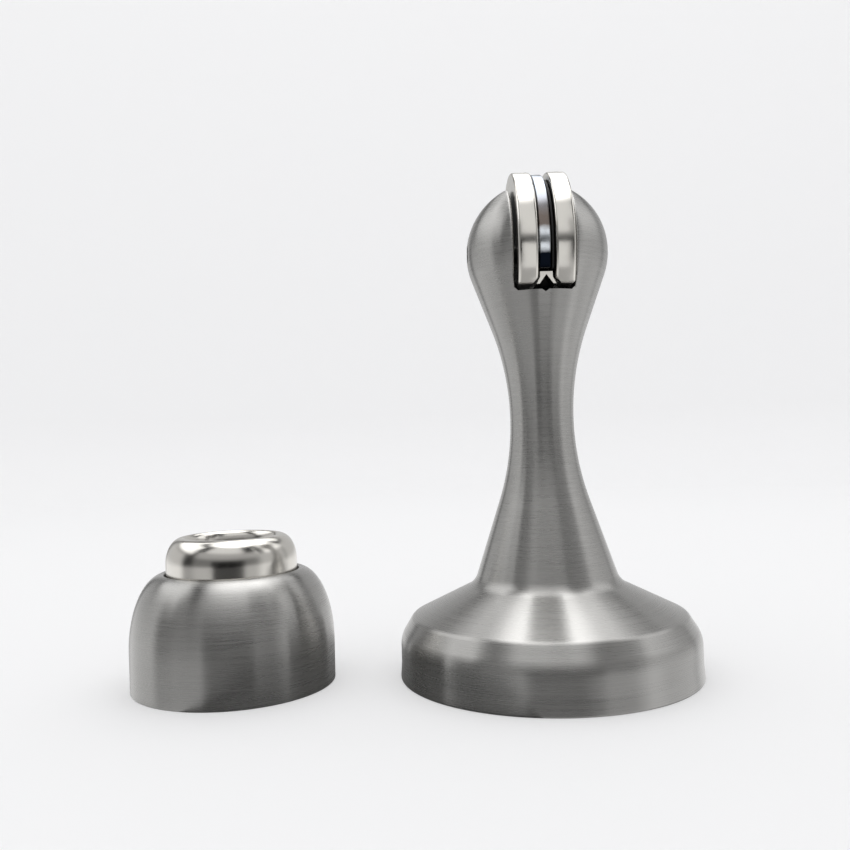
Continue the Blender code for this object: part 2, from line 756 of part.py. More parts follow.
def make_catch(parts, cutters, surfaces):
    """The catch's pieces, under one empty at its middle. The cup and its bush ride their own empty."""
    catch = frame_empty("catch_axis", (CATCH_X, CATCH_Y, 0), None, parts)
    strike = frame_empty("strike_axis", (0, 0, 0), catch, parts)
    make_catch_shell(parts, catch, surfaces["steel"])
    make_strike_cup(parts, strike, surfaces["nickel"])
    make_guide_bush(parts, strike, surfaces["nylon"])
    make_catch_base(parts, cutters, catch, surfaces["zinc"])
    make_strike_screw(parts, cutters, catch, surfaces["zinc"])
    make_screw_washer(parts, catch, surfaces["zinc"])
    make_buffer_spring(parts, catch, surfaces["spring"])


# ---------------------------------------------------------------- whole object


def make_surfaces():
    return {
        "steel": material("brushed_stainless", (0.42, 0.42, 0.41), 0.34, 1.0),
        "nickel": material("polished_nickel", (0.72, 0.69, 0.65), 0.12, 1.0),
        "magnet": material("plated_magnet", (0.66, 0.70, 0.76), 0.15, 1.0),
        "zinc": material("zinc_plate", (0.60, 0.61, 0.62), 0.35, 1.0),
        "spring": material("spring_steel", (0.38, 0.38, 0.38), 0.30, 1.0),
        "brass": material("brass", (0.70, 0.52, 0.24), 0.30, 1.0),
        "black": material("black_spacer", (0.02, 0.02, 0.02), 0.60, 0.0),
        "nylon": material("white_nylon", (0.75, 0.74, 0.70), 0.50, 0.0),
    }


def main():
    clear_scene()
    parts = new_collection("floor_door_holder")
    cutters = new_collection("cutters", hidden=True)
    surfaces = make_surfaces()
    make_post_body(parts, cutters, surfaces["steel"])
    make_pivot_pin(parts, surfaces["zinc"])
    make_magnet_pack(parts, cutters, surfaces)
    make_floor_plate(parts, cutters, surfaces["zinc"])
    make_post_stud(parts, surfaces["zinc"])
    make_lock_washer(parts, surfaces["zinc"])
    make_lock_nut(parts, surfaces["zinc"])
    make_catch(parts, cutters, surfaces)


main()
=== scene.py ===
"""Floor door holder: the looks of the post with its magnet head, and of the sprung catch beside it.

Metres, +Z up. The origin is the middle of the post's underside, and the magnet faces -Y.
"""

from math import acos, asin, atan2, cos, pi, radians, sin, sqrt, tan

import bmesh
import bpy
import numpy as np
from bpy.props import FloatProperty, FloatVectorProperty, PointerProperty
from mathutils import Matrix, Vector


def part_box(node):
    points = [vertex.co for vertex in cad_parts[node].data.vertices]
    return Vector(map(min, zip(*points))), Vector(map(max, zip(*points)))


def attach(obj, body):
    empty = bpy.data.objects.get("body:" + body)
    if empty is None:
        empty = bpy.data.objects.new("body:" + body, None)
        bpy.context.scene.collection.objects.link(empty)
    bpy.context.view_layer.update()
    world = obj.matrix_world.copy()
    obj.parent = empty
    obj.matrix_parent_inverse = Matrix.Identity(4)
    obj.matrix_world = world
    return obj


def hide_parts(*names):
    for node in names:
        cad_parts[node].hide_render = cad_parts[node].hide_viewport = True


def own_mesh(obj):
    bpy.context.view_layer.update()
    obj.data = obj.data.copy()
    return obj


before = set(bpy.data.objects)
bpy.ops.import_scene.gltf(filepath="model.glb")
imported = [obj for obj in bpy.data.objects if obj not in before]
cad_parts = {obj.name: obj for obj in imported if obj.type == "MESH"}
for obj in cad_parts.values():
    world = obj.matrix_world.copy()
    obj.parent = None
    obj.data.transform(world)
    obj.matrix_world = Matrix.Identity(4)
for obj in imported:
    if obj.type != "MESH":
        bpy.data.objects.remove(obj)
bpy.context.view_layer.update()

bl_info = {
    "name": "Floor door holder",
    "version": (1, 0, 0),
    "blender": (4, 5, 0),
    "location": "3D View > Sidebar > Door holder",
    "description": "Builds a magnetic floor door holder, its catch and a small studio",
    "category": "Add Mesh",
}

MM = 0.001
GAP = 0.3 * MM  # kept between pieces that touch
LOW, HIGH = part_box("catch_shell")
CATCH_AXIS = ((LOW.x + HIGH.x) / 2, (LOW.y + HIGH.y) / 2)


def linear(colour):
    """An sRGB hex colour as the linear values that a shader takes."""
    channels = np.array([int(colour[i : i + 2], 16) for i in (1, 3, 5)]) / 255
    curved = ((channels + 0.055) / 1.055) ** 2.4
    return tuple(np.where(channels <= 0.04045, channels / 12.92, curved).tolist())


def size(name, description, mm):
    """A length setting. Its default is given in millimetres."""
    return FloatProperty(name=name, description=description, default=mm * MM, unit="LENGTH", precision=5)


def turn(name, description, deg):
    """An angle setting. Its default is given in degrees."""
    return FloatProperty(name=name, description=description, default=radians(deg), subtype="ANGLE")


def share(name, description, value):
    """A setting with no unit."""
    return FloatProperty(name=name, description=description, default=value, min=0)


def tint(name, description, colour):
    """A colour setting. Its default is an sRGB hex value."""
    return FloatVectorProperty(
        name=name, description=description, default=linear(colour), subtype="COLOR", min=0, max=1
    )


# ---------------------------------------------------------------- settings


class PostSizes(bpy.types.PropertyGroup):
    """Sizes of the turned post."""

    skirt_radius: size("Skirt radius", "Radius of the foot's upright wall", 24.8)
    foot_flare: size("Foot flare", "How far the foot's edge stands out of the wall", 0.2)
    flare_height: size("Flare height", "Height over which the foot flares", 2.5)
    foot_round: size("Foot round", "Rounding of the foot's lower edge", 0.3)
    shoulder_height: size("Shoulder height", "Height at which the shoulder meets the wall", 9.0)
    shoulder_cut: size("Shoulder cut", "How far the bevel reaches along shoulder and wall", 2.3)
    shoulder_crease: size("Shoulder crease", "Rounding between shoulder and bevel", 1.8)
    shoulder_round: size("Shoulder round", "Rounding between bevel and wall", 4.5)
    stem_foot_height: size("Stem foot height", "Height at which the stem meets the shoulder", 15.2)
    stem_foot_fillet: size("Stem foot fillet", "Fillet between stem and shoulder", 3.6)
    stem_slope: turn("Stem slope", "Slope of the lower stem from upright", 18.6)
    neck_radius: size("Neck radius", "Radius at the waist", 5.3)
    neck_height: size("Neck height", "Height of the waist", 42.6)
    neck_sweep: size("Neck sweep", "Radius of the arc on each side of the waist", 43.6)
    ball_radius: size("Ball radius", "Radius of the round head", 11.85)
    ball_height: size("Ball height", "Height of the head's centre", 70.3)
    slot_half: size("Slot half width", "From the middle of the slot to its wall", 4.9)
    slot_floor: size("Slot floor", "Depth of the slot's floor below the head's centre", 7.5)
    slot_corner: size("Slot corner", "Chamfer along the slot's floor", 0.6)
    notch_half: size("Notch half width", "Half the width of the small notch in the floor", 0.6)
    notch_depth: size("Notch depth", "Depth of the small notch in the floor", 0.4)
    edge_round: size("Slot edge round", "Rounding between the slot's wall and the head", 0.28)
    pin_hole: size("Pin hole radius", "Radius of the cross hole for the pin", 1.8)
    skirt_wall: size("Skirt wall", "Thickness of the wall round the hollow foot", 2.2)
    recess_height: size("Foot recess height", "Height of the recess under the foot", 5.0)
    pocket_radius: size("Nut pocket radius", "Radius of the pocket for the lock nut", 8.18)
    pocket_start: size("Nut pocket start", "Height at which the recess has narrowed to the pocket", 8.6)
    pocket_height: size("Nut pocket height", "Height of the nut pocket's roof", 11.0)
    bore_radius: size("Stud bore radius", "Radius of the bore for the stud", 4.2)
    bore_height: size("Stud bore height", "Height of the bore's end", 27.9)
    pin_radius: size("Pin radius", "Radius of the cross pin", 1.5)
    pin_length: size("Pin length", "Length of the cross pin", 23.2)


class PackSizes(bpy.types.PropertyGroup):
    """Sizes of the magnet pack, measured from the head's centre."""

    plate_radius: size("Plate radius", "Radius of a pole plate", 13.4)
    plate_inner: size("Plate inner face", "From the middle to a plate's inner face", 1.35)
    plate_thickness: size("Plate thickness", "Thickness of a pole plate", 3.1)
    plate_edge: size("Plate edge round", "Rounding of a plate's edges", 0.45)
    plate_foot: size("Plate foot", "Depth of the plates' flat foot", 6.9)
    plate_corner: size("Plate corner", "Rounding where the flat foot meets the disc", 0.5)
    foot_chamfer: size("Foot chamfer", "Chamfer of a plate's inner foot", 0.9)
    magnet_setback: size("Magnet setback", "How far the magnet's edge lies inside the plates", 0.4)
    magnet_left: size("Magnet left face", "From the middle to the magnet's left face", 1.2)
    magnet_thickness: size("Magnet thickness", "Thickness of the magnet", 1.75)
    magnet_foot: size("Magnet foot", "Depth of the magnet's flat foot", 4.6)
    magnet_edge: size("Magnet edge round", "Rounding of the magnet's edges", 0.2)
    disc_corner: size("Disc corner", "Rounding where the magnet's and spacer's flat foot meets the disc", 0.4)
    spacer_edge: size("Spacer edge round", "Rounding of the spacer's edges", 0.05)
    spacer_setback: size("Spacer setback", "How far the spacer's edge lies inside the plates", 1.2)
    spacer_thickness: size("Spacer thickness", "Thickness of the black spacer", 0.35)
    sleeve_hole: size("Sleeve hole radius", "Radius of the hole for the sleeve", 2.8)
    keeper_half: size("Keeper half width", "Half the width of the keeper's strip", 1.05)
    keeper_splay: size("Keeper splay", "How far a foot reaches out", 0.55)
    keeper_flat: size("Keeper foot flat", "Flat under each foot", 0.5)
    keeper_notch: size("Keeper notch", "Height of the inverted V", 1.5)
    keeper_dip: size("Keeper dip", "How far the inverted V runs in from each end", 3.0)
    keeper_length: size("Keeper length", "Length of the keeper, front to back", 21.76)


class CatchSizes(bpy.types.PropertyGroup):
    """Sizes of the catch."""

    shell_radius: size("Shell radius", "Radius of the shell's wall", 16.75)
    foot_taper: size("Foot taper", "How much the wall draws in at the foot", 0.05)
    wall_height: size("Wall height", "Height of the upright wall", 6.6)
    lip_radius: size("Lip radius", "Radius of the shell's round opening", 11.05)
    lip_height: size("Lip height", "Height of the shell's opening", 18.7)
    lip_round: size("Lip round", "Rounding of the shell's lip", 0.25)
    shell_wall: size("Shell wall", "Thickness of the shell", 1.2)
    cup_radius: size("Cup radius", "Radius of the strike cup", 10.75)
    cup_top: size("Cup top", "Height of the strike cup", 24.5)
    rim_run: size("Rim run", "From the cup's outer wall in to its crest", 2.75)
    rim_rise: size("Rim rise", "Height of the rim's outer round", 4.2)
    mouth_run: size("Mouth run", "From the crest in to the recess", 1.1)
    mouth_rise: size("Mouth rise", "Height of the rim's inner round", 2.2)
    recess_depth: size("Recess depth", "Depth of the cup's recess", 8.3)
    cup_floor: size("Cup floor", "Thickness of the cup's floor", 2.0)
    flange_width: size("Flange width", "Width of the flange under the shell", 1.65)
    cup_hole: size("Cup hole radius", "Radius of the cup's centre hole", 3.4)
    screw_radius: size("Screw radius", "Radius of the strike screw", 2.0)
    screw_floor: size("Screw floor", "Height of the strike screw's lower end", 1.5)
    head_radius: size("Head radius", "Radius of the screw's head", 4.0)
    head_height: size("Head height", "Height of the screw's head", 1.9)
    cross_half: size("Cross half width", "Half the width of an arm of the cross recess", 0.45)
    cross_reach: size("Cross reach", "Length of an arm of the cross recess", 2.1)
    cross_depth: size("Cross depth", "Depth of the cross recess", 1.2)
    washer_inner: size("Washer hole radius", "Radius of the washer's hole", 2.3)
    washer_outer: size("Washer radius", "Radius of the washer", 5.2)
    washer_thickness: size("Washer thickness", "Thickness of the washer", 0.6)
    spring_wire: size("Spring wire radius", "Radius of the spring's wire", 0.5)
    spring_turns: share("Spring turns", "Number of turns of the spring", 5.5)
    cup_travel: size("Cup travel", "How far the cup goes in", 3.0)


class Finishes(bpy.types.PropertyGroup):
    """Colours of the finishes and sizes of their grain."""

    steel: tint("Brushed stainless steel", "Colour of the post and the shell", "#AEADAB")
    # Painted shade: nearly black, for the shade inside the slot and under the keeper.
    slot: tint("Slot walls", "Colour of the milled walls of the head's slot", "#2B2A29")
    nickel: tint("Polished nickel", "Colour of the plates and the cup", "#DEDBD5")
    magnet: tint("Plated magnet", "Colour of the magnet's plating", "#AEB6C2")
    # Painted light on the magnet: a painted highlight, a painted shade band and painted shade at the foot,
    # where the plates shade it.
    bright: tint("Magnet, bright part", "Colour of the plating where it's cleanest", "#E9EEF4")
    painted_shade_band: tint("Magnet, stain", "Colour of the brownish stain on the plating", "#7A706A")
    painted_foot_shade: tint("Magnet, tarnish", "Colour of the tarnished foot of the magnet", "#0F141D")
    spacer: tint("Black plastic", "Colour of the spacer", "#0B0B0C")
    pin: tint("Ground steel", "Colour of the cross pin", "#A7A7A6")
    zinc: tint("Zinc plate", "Colour of the hidden fixings", "#AEB4B8")
    brass: tint("Brass", "Colour of the sleeve", "#C9A45C")
    nylon: tint("Nylon", "Colour of the bush", "#DDDACD")
    spring: tint("Spring steel", "Colour of the coil spring", "#8E9296")
    brush_width: size("Brush line width", "Width of the brushing's lines", 0.17)


class StageSettings(bpy.types.PropertyGroup):
    """The camera, the floor and the light round the object."""

    camera_place: FloatVectorProperty(
        name="Camera place",
        description="Where the camera stands",
        default=(-0.01975, -0.1465, 0.03952),
        subtype="TRANSLATION",
    )
    camera_pitch: turn("Camera pitch", "How far the camera looks down", -0.966)
    camera_roll: turn("Camera roll", "How far the camera leans", -1.732)
    lens: FloatProperty(name="Lens", description="Focal length", default=36.73, unit="CAMERA")
    floor: tint("Floor", "Colour of the floor and the backdrop", "#C4C4C5")
    floor_radius: size("Floor radius", "Radius of the round floor", 560)
    wall_height: size("Wall height", "Height of the backdrop", 600)
    bend_radius: size("Bend radius", "Radius between floor and backdrop", 60)
    tent_radius: size("Tent radius", "Radius of the light tent", 900)
    sky: share("Sky light", "Strength of the even light on floor and backdrop", 1.29)
    card_left: size("Card left edge", "Left edge of the cards by the head", -4)
    card_right: size("Card right edge", "Right edge of the cards by the head", 9)
    card_place: size("Card place", "Where the cards by the head stand, front to back", -35)
    card_light: share("Card light", "Strength of the cards by the head", 0.85)
    table_radius: size("Table radius", "Radius of the table top as the metal reflects it", 34)
    table_place: size("Table place", "Middle of that table top, left to right", -28)
    glow: share("Floor glow", "Strength of the light that shines through the floor", 0.325)
    table: tint("Table", "Colour of the table as the metal reflects it", "#6E6E6E")
    tent: share("Tent light", "Strength of the light that the metal reflects", 1.0)


class DoorHolder(bpy.types.PropertyGroup):
    """All the settings."""

    post: PointerProperty(type=PostSizes)
    pack: PointerProperty(type=PackSizes)
    catch: PointerProperty(type=CatchSizes)
    finishes: PointerProperty(type=Finishes)
    stage: PointerProperty(type=StageSettings)


# ---------------------------------------------------------------- surfaces


def arc(centre, radius, start, end, steps):
    """Points centre + radius (cos a, sin a), with the angle a running evenly from start to end."""
    a = np.linspace(start, end, steps)
    across, up = (radius, radius) if np.isscalar(radius) else radius
    return np.stack([centre[0] + across * np.cos(a), centre[1] + up * np.sin(a)], 1)


def line(start, end, steps):
    """Evenly spaced points from start to end."""
    return np.linspace(start, end, steps)


def rounded(corners, steps=8):
    """An outline whose corners (x, z, fillet radius) turn into arcs that touch both their sides.

    The arc's centre is on the corner's bisector, radius / sin(half angle) away from the corner.
    """
    points = [np.array([corners[0][:2]])]
    for before, corner, after in zip(corners, corners[1:], corners[2:]):
        here, fillet = Vector(corner[:2]), corner[2]
        if fillet <= 0:
            points.append(np.array([here]))
            continue
        back = (Vector(before[:2]) - here).normalized()
        ahead = (Vector(after[:2]) - here).normalized()
        half = acos(max(-1.0, min(1.0, back.dot(ahead)))) / 2
        centre = here + (back + ahead).normalized() * (fillet / sin(half))
        first = here + back * (fillet / tan(half)) - centre
        last = here + ahead * (fillet / tan(half)) - centre
        start = atan2(first.y, first.x)
        sweep = (atan2(last.y, last.x) - start + pi) % (2 * pi) - pi
        points.append(arc(centre, fillet, start, start + sweep, steps))
    points.append(np.array([corners[-1][:2]]))
    return np.concatenate(points)


def dense(outline, step):
    """The same outline with points added, so that none are further apart than step."""
    parts = [outline[:1]]
    for a, b in zip(outline, outline[1:]):
        count = max(1, int(np.ceil(np.linalg.norm(b - a) / step)))
        parts.append(np.linspace(a, b, count + 1)[1:])
    return np.concatenate(parts)


def turned(outline, steps=128, axis=(0.0, 0.0)):
    """A profile (r, z) carried round Z: x = r cos a, y = r sin a.

    A closed profile repeats its first point at its end.
    """
    a = np.linspace(0, 2 * pi, steps + 1)
    r, z = outline[:, :1], outline[:, 1:]
    return np.stack([axis[0] + r * np.cos(a), axis[1] + r * np.sin(a), z + 0 * a], 2)


def new_piece(name, grids, sharp=35.0):
    """One closed mesh from grids of points (rows, columns, 3), welded where their edges meet."""
    points, faces, start = [], [], 0
    for grid in grids:
        rows, columns = grid.shape[:2]
        index = start + np.arange(rows * columns).reshape(rows, columns)
        quads = np.stack([index[:-1, :-1], index[1:, :-1], index[1:, 1:], index[:-1, 1:]], 2)
        points.append(grid.reshape(-1, 3))
        faces.append(quads.reshape(-1, 4))
        start += rows * columns
    mesh = bpy.data.meshes.new(name)
    mesh.from_pydata(np.concatenate(points), [], np.concatenate(faces).tolist())
    work = bmesh.new()
    work.from_mesh(mesh)
    bmesh.ops.remove_doubles(work, verts=work.verts, dist=2e-7)
    bmesh.ops.dissolve_degenerate(work, edges=work.edges, dist=1e-8)
    bmesh.ops.recalc_face_normals(work, faces=work.faces)
    work.to_mesh(mesh)
    work.free()
    mesh.shade_smooth()
    mesh.set_sharp_from_angle(angle=radians(sharp))
    piece = bpy.data.objects.new(name, mesh)
    bpy.context.scene.collection.objects.link(piece)
    return piece


def place(piece, body, slot, material, *nodes):
    """Gives a piece its finish and its body, and hides the CAD nodes it stands for."""
    piece.data.materials.append(material)
    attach(piece, body)
    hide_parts(*nodes)


# ---------------------------------------------------------------- post


def post_outline(s):
    """The post's outer profile (r, z), from the head's centre height down to the foot.

    The head is a circle. Each side of the waist is an arc about a centre that lies neck radius plus
    sweep from the axis. A straight line touches both the head and the upper arc. The lower arc runs
    into a straight cone, which meets the sloping shoulder in a fillet. A short bevel with rounded
    edges joins the shoulder to the upright wall.
    """
    rise = s.ball_height - s.neck_height
    reach = s.neck_radius + s.neck_sweep
    tangent = atan2(-rise, reach) + acos((s.ball_radius + s.neck_sweep) / sqrt(reach**2 + rise**2))
    ball = arc((0, s.ball_height), s.ball_radius, 0, tangent, 24)
    upper = arc((reach, s.neck_height), s.neck_sweep, pi + tangent, pi, 40)
    lower = arc((reach, s.neck_height), s.neck_sweep, pi, pi + s.stem_slope, 30)
    top = lower[-1]
    stem_foot = top[0] + (top[1] - s.stem_foot_height) * tan(s.stem_slope)
    foot = s.skirt_radius + s.foot_flare
    fall = atan2(s.stem_foot_height - s.shoulder_height, s.skirt_radius - stem_foot)
    cut = s.shoulder_cut
    corners = [
        (*top, 0),
        (stem_foot, s.stem_foot_height, s.stem_foot_fillet),
        (s.skirt_radius - cut * cos(fall), s.shoulder_height + cut * sin(fall), s.shoulder_crease),
        (s.skirt_radius, s.shoulder_height - cut, s.shoulder_round),
        (s.skirt_radius, s.flare_height, 8 * MM),
        (foot, 0, s.foot_round),
        (foot - 2 * s.foot_round, 0, 0),
    ]
    return np.concatenate([ball, upper, lower[1:], rounded(corners, 16)[1:]])


def hollow_outline(s):
    """The hollow under the foot, from its edge in to the axis: a recess, a nut pocket and a blind bore."""
    inner = s.skirt_radius - s.skirt_wall
    return np.array([
        (inner, 0), (inner, s.recess_height),
        (s.pocket_radius, s.pocket_start), (s.pocket_radius, s.pocket_height),
        (s.bore_radius, s.pocket_height), (s.bore_radius, s.bore_height),
        (0, s.bore_height),
    ])


HOLE_ROWS = 12  # from the pin hole's edge to where rows start to meet the slot's floor
SIDE_ROWS = 44  # from there to the slot's edge, sharing their first with the last of the hole's
EDGE_ROWS = 6  # round the slot's edge
WALL_ROWS = 13  # across the slot's wall, down to the depth of its floor
INNER_ROWS = 7  # on across the wall to the pin hole
BORE_ROWS = 4  # out through the pin hole
HEAD_COLUMNS = 129


def lobe_surface(s, radius_at):
    """One half of the head, beside the slot, as rows of circles round the X axis through its centre.

    A row runs x(t), rho(t): out of the pin hole, over the ball, round the slot's edge and back in
    across the slot's wall. A point on it is y = rho sin(v m), z = rho cos(v m), for v from -1 to 1,
    where m is half a turn, or stops the row at the slot's floor if rho reaches lower than that.
    The edge's rounding fades out as 1 - |v|^16. Below the ball's tangent to the neck, points move
    outward from the ball to the neck's own radius, keeping the slot's wall flat.
    """
    ball, half, drop = s.ball_radius, s.slot_half, s.slot_floor - s.slot_corner
    v = np.linspace(-1, 1, HEAD_COLUMNS)
    soft = s.edge_round * (1 - np.abs(v) ** 16)
    floor_radius = sqrt(ball**2 - drop**2)
    corner = acos(half / floor_radius)
    first = asin(drop / ball)
    share_along = np.linspace(0, 1, SIDE_ROWS)
    steep = np.arccos(floor_radius * np.cos(share_along * corner) / ball)
    share_steep = ((steep - first) / (steep[-1] - first))[:, None]
    centre_x = half + soft
    centre_rho = np.sqrt((ball - soft) ** 2 - centre_x**2)
    last = np.arctan2(centre_rho, centre_x)
    hole = np.linspace(asin(s.pin_hole / ball), first, HOLE_ROWS)[:, None] + 0 * v
    over = first + share_steep * (last - first)
    beta = np.concatenate([hole, over[1:]])
    outer_x, outer_rho = ball * np.cos(beta), ball * np.sin(beta)
    bend = np.linspace(0, 1, EDGE_ROWS + 1)[1:, None]
    angle = last + bend * (pi - last)
    edge_x = centre_x + soft * np.cos(angle)
    edge_rho = centre_rho + soft * np.sin(angle)
    mouth = centre_rho[0]
    depth = sqrt(mouth**2 - drop**2)
    along = np.linspace(1, 0, WALL_ROWS + 1)[1:, None]
    wall_rho = np.sqrt((depth * along) ** 2 + drop**2)
    wall_rho = wall_rho + (along > 0) * (centre_rho - mouth) * along**2
    inner_rho = np.linspace(drop, s.pin_hole, INNER_ROWS + 1)[1:, None] + 0 * v
    bore_x = np.linspace(half, ball * cos(asin(s.pin_hole / ball)), BORE_ROWS + 1)[1:, None] + 0 * v
    x = np.concatenate([outer_x, edge_x, half + 0 * wall_rho, half + 0 * inner_rho, bore_x])
    rho = np.concatenate([outer_rho, edge_rho, wall_rho, inner_rho, s.pin_hole + 0 * bore_x])
    m = np.where(rho > drop, np.arccos(np.clip(-drop / rho, -1, 1)), pi)
    y, z = rho * np.sin(v * m), rho * np.cos(v * m)
    return widened(s, radius_at, x, y, z)


def widened(s, radius_at, x, y, z):
    """Moves points from the ball out to the neck's radius at their height, as lobe_surface says."""
    half = s.slot_half
    ball_radius = np.sqrt(np.maximum(s.ball_radius**2 - z**2, 1e-12))
    true_radius = np.maximum(radius_at(z), ball_radius)
    low = z < 0
    turn_ball = np.arccos(np.clip(half / ball_radius, -1, 1))
    turn_true = np.arccos(np.clip(half / true_radius, -1, 1))
    angle = np.arctan2(y, x) * np.where(low, turn_true / np.maximum(turn_ball, 1e-6), 1)
    radius = np.hypot(x, y) * true_radius / ball_radius
    outer = np.stack([radius * np.cos(angle), radius * np.sin(angle)], 2)
    ball_reach = np.maximum(ball_radius**2 - half**2, 1e-12)
    stretch = np.sqrt(np.maximum(true_radius**2 - half**2, 0) / ball_reach)
    flat = np.stack([x, y * np.where(low, stretch, 1)], 2)
    outer_rows = HOLE_ROWS + SIDE_ROWS - 1
    weight = np.clip((np.arange(len(x)) - outer_rows + 1) / EDGE_ROWS, 0, 1)[:, None, None]
    bore = np.arange(len(x)) >= len(x) - BORE_ROWS
    moved = np.where(low[:, :, None], outer * (1 - weight) + flat * weight, np.stack([x, y], 2))
    moved = np.where(bore[:, None, None], np.stack([x, y], 2), moved)
    return np.concatenate([moved, z[:, :, None]], 2)


def slot_lip(s):
    """Places x across the slot's floor, and the floor's height there.

    The floor is flat, chamfered at both walls and notched in the middle.
    """
    half, corner, notch = s.slot_half, s.slot_corner, s.notch_half
    right = np.concatenate([[half - corner / 2], line(half - corner, notch, 8), [notch / 2]])
    x = np.concatenate([right, [0], -right[::-1]])
    height = -s.slot_floor + np.maximum(np.abs(x) - half + corner, 0)
    return x, height - s.notch_depth * np.maximum(1 - np.abs(x) / notch, 0)


def post_grids(s):
    """The whole post: two lobes, the slot's floor, and rings round Z from there down and under the foot.

    The rings' columns meet the points along the lobes' lower ends and the slot's two lips.
    """
    outline = post_outline(s)
    outline[:, 1] -= s.ball_height
    heights, radii = outline[:, 1][::-1], outline[:, 0][::-1]
    stem = heights > s.neck_height - s.ball_height

    def radius_at(z):
        """The stem's radius at that height above the ball's centre."""
        return np.interp(z, heights[stem], radii[stem])

    right = lobe_surface(s, radius_at)
    left = right * (-1, 1, 1)
    level = s.slot_floor - s.slot_corner
    # The front column, from the lobe's side to the slot.
    rim = right[HOLE_ROWS - 1 : HOLE_ROWS + SIDE_ROWS - 1, 0]
    corner_angles = np.arctan2(-rim[:, 1], rim[:, 0])
    lip_x, lip_z = slot_lip(s)
    lip_angles = np.arccos(lip_x / radius_at(lip_z))
    side = np.concatenate([-corner_angles[::-1], corner_angles[1:]])
    angles = np.concatenate([side, lip_angles, side + pi, lip_angles + pi, side[:1] + 2 * pi])
    flat = np.full(len(side), -level)
    tops = np.concatenate([flat, lip_z, flat, lip_z, flat[:1]])
    ring_level = -s.slot_floor - s.notch_depth - 0.9 * MM  # where the rings have become level
    share_down = np.linspace(0, 1, 6)[:, None]
    z = tops + (ring_level - tops) * share_down
    r = radius_at(z)
    below = outline[outline[:, 1] < ring_level - 0.1 * MM]
    hollow = hollow_outline(s) - (0, s.ball_height)
    profile = dense(np.concatenate([below, hollow]), 0.8 * MM)
    z = np.concatenate([z, profile[:, 1:] + 0 * angles])
    r = np.concatenate([r, profile[:, :1] + 0 * angles])
    rings = np.stack([r * np.cos(angles), r * np.sin(angles), z], 2)
    edge_end = HOLE_ROWS + SIDE_ROWS - 2 + EDGE_ROWS
    mouth = right[edge_end : edge_end + WALL_ROWS + 1, 0]
    along = np.concatenate([-mouth[:, 1], mouth[:-1, 1][::-1]]) / -mouth[0, 1]
    floor_x = np.concatenate([[s.slot_half], lip_x, [-s.slot_half]])
    floor_z = np.concatenate([[-level], lip_z, [-level]])
    lip_y = np.sqrt(radius_at(floor_z) ** 2 - floor_x**2)
    floor = np.stack(np.broadcast_arrays(floor_x, lip_y * along[:, None], floor_z), 2)
    return [grid + (0, 0, s.ball_height) for grid in (right, left, rings, floor)]


class DOORHOLDER_OT_post(bpy.types.Operator):
    """Makes the turned post with its slotted head"""

    bl_idname = "door_holder.post"
    bl_label = "Post"

    def execute(self, context):
        settings = context.scene.door_holder
        s = settings.post
        piece = new_piece("post", post_grids(s))
        place(piece, "post", "post_steel", brushed_stainless("post_brushed_stainless", (0, 0)), "post_body")
        # The slot's faces take painted shade, nearly black, for the shade inside the slot.
        piece.data.materials.append(painted_shade_steel())
        centres = np.empty(len(piece.data.polygons) * 3, np.float32)
        piece.data.polygons.foreach_get("center", centres)
        x, y, z = centres.reshape(-1, 3).T
        ball = np.sqrt(np.maximum(s.ball_radius**2 - (z - s.ball_height) ** 2, 0))
        slot_shade_faces = (np.abs(x) < s.slot_half + 0.02 * MM) & (z > s.ball_height - s.slot_floor - s.notch_depth)
        slot_shade_faces &= np.hypot(x, y) < ball - 0.1 * MM
        piece.data.polygons.foreach_set("material_index", slot_shade_faces.astype(np.int32))
        return {"FINISHED"}


class DOORHOLDER_OT_pivot_pin(bpy.types.Operator):
    """Makes the cross pin with slightly domed ends"""

    bl_idname = "door_holder.pivot_pin"
    bl_label = "Cross pin"

    def execute(self, context):
        s = context.scene.door_holder.post
        half, radius = s.pin_length / 2, s.pin_radius
        dome_edge = (radius * 0.8, half - 0.05 * MM, 0.4 * MM)
        end = rounded([(0, half, 0), dome_edge, (radius, half - 0.3 * MM, 0)])
        outline = np.concatenate([end, (end * (1, -1))[::-1]])
        about_z = turned(dense(outline, 1.5 * MM), 48)
        about_x = about_z[:, :, [2, 0, 1]] + (0, 0, s.ball_height)
        place(new_piece("cross_pin", [about_x]), "post", "pin_steel", ground_steel(), "pivot_pin")
        return {"FINISHED"}


# ---------------------------------------------------------------- magnet pack


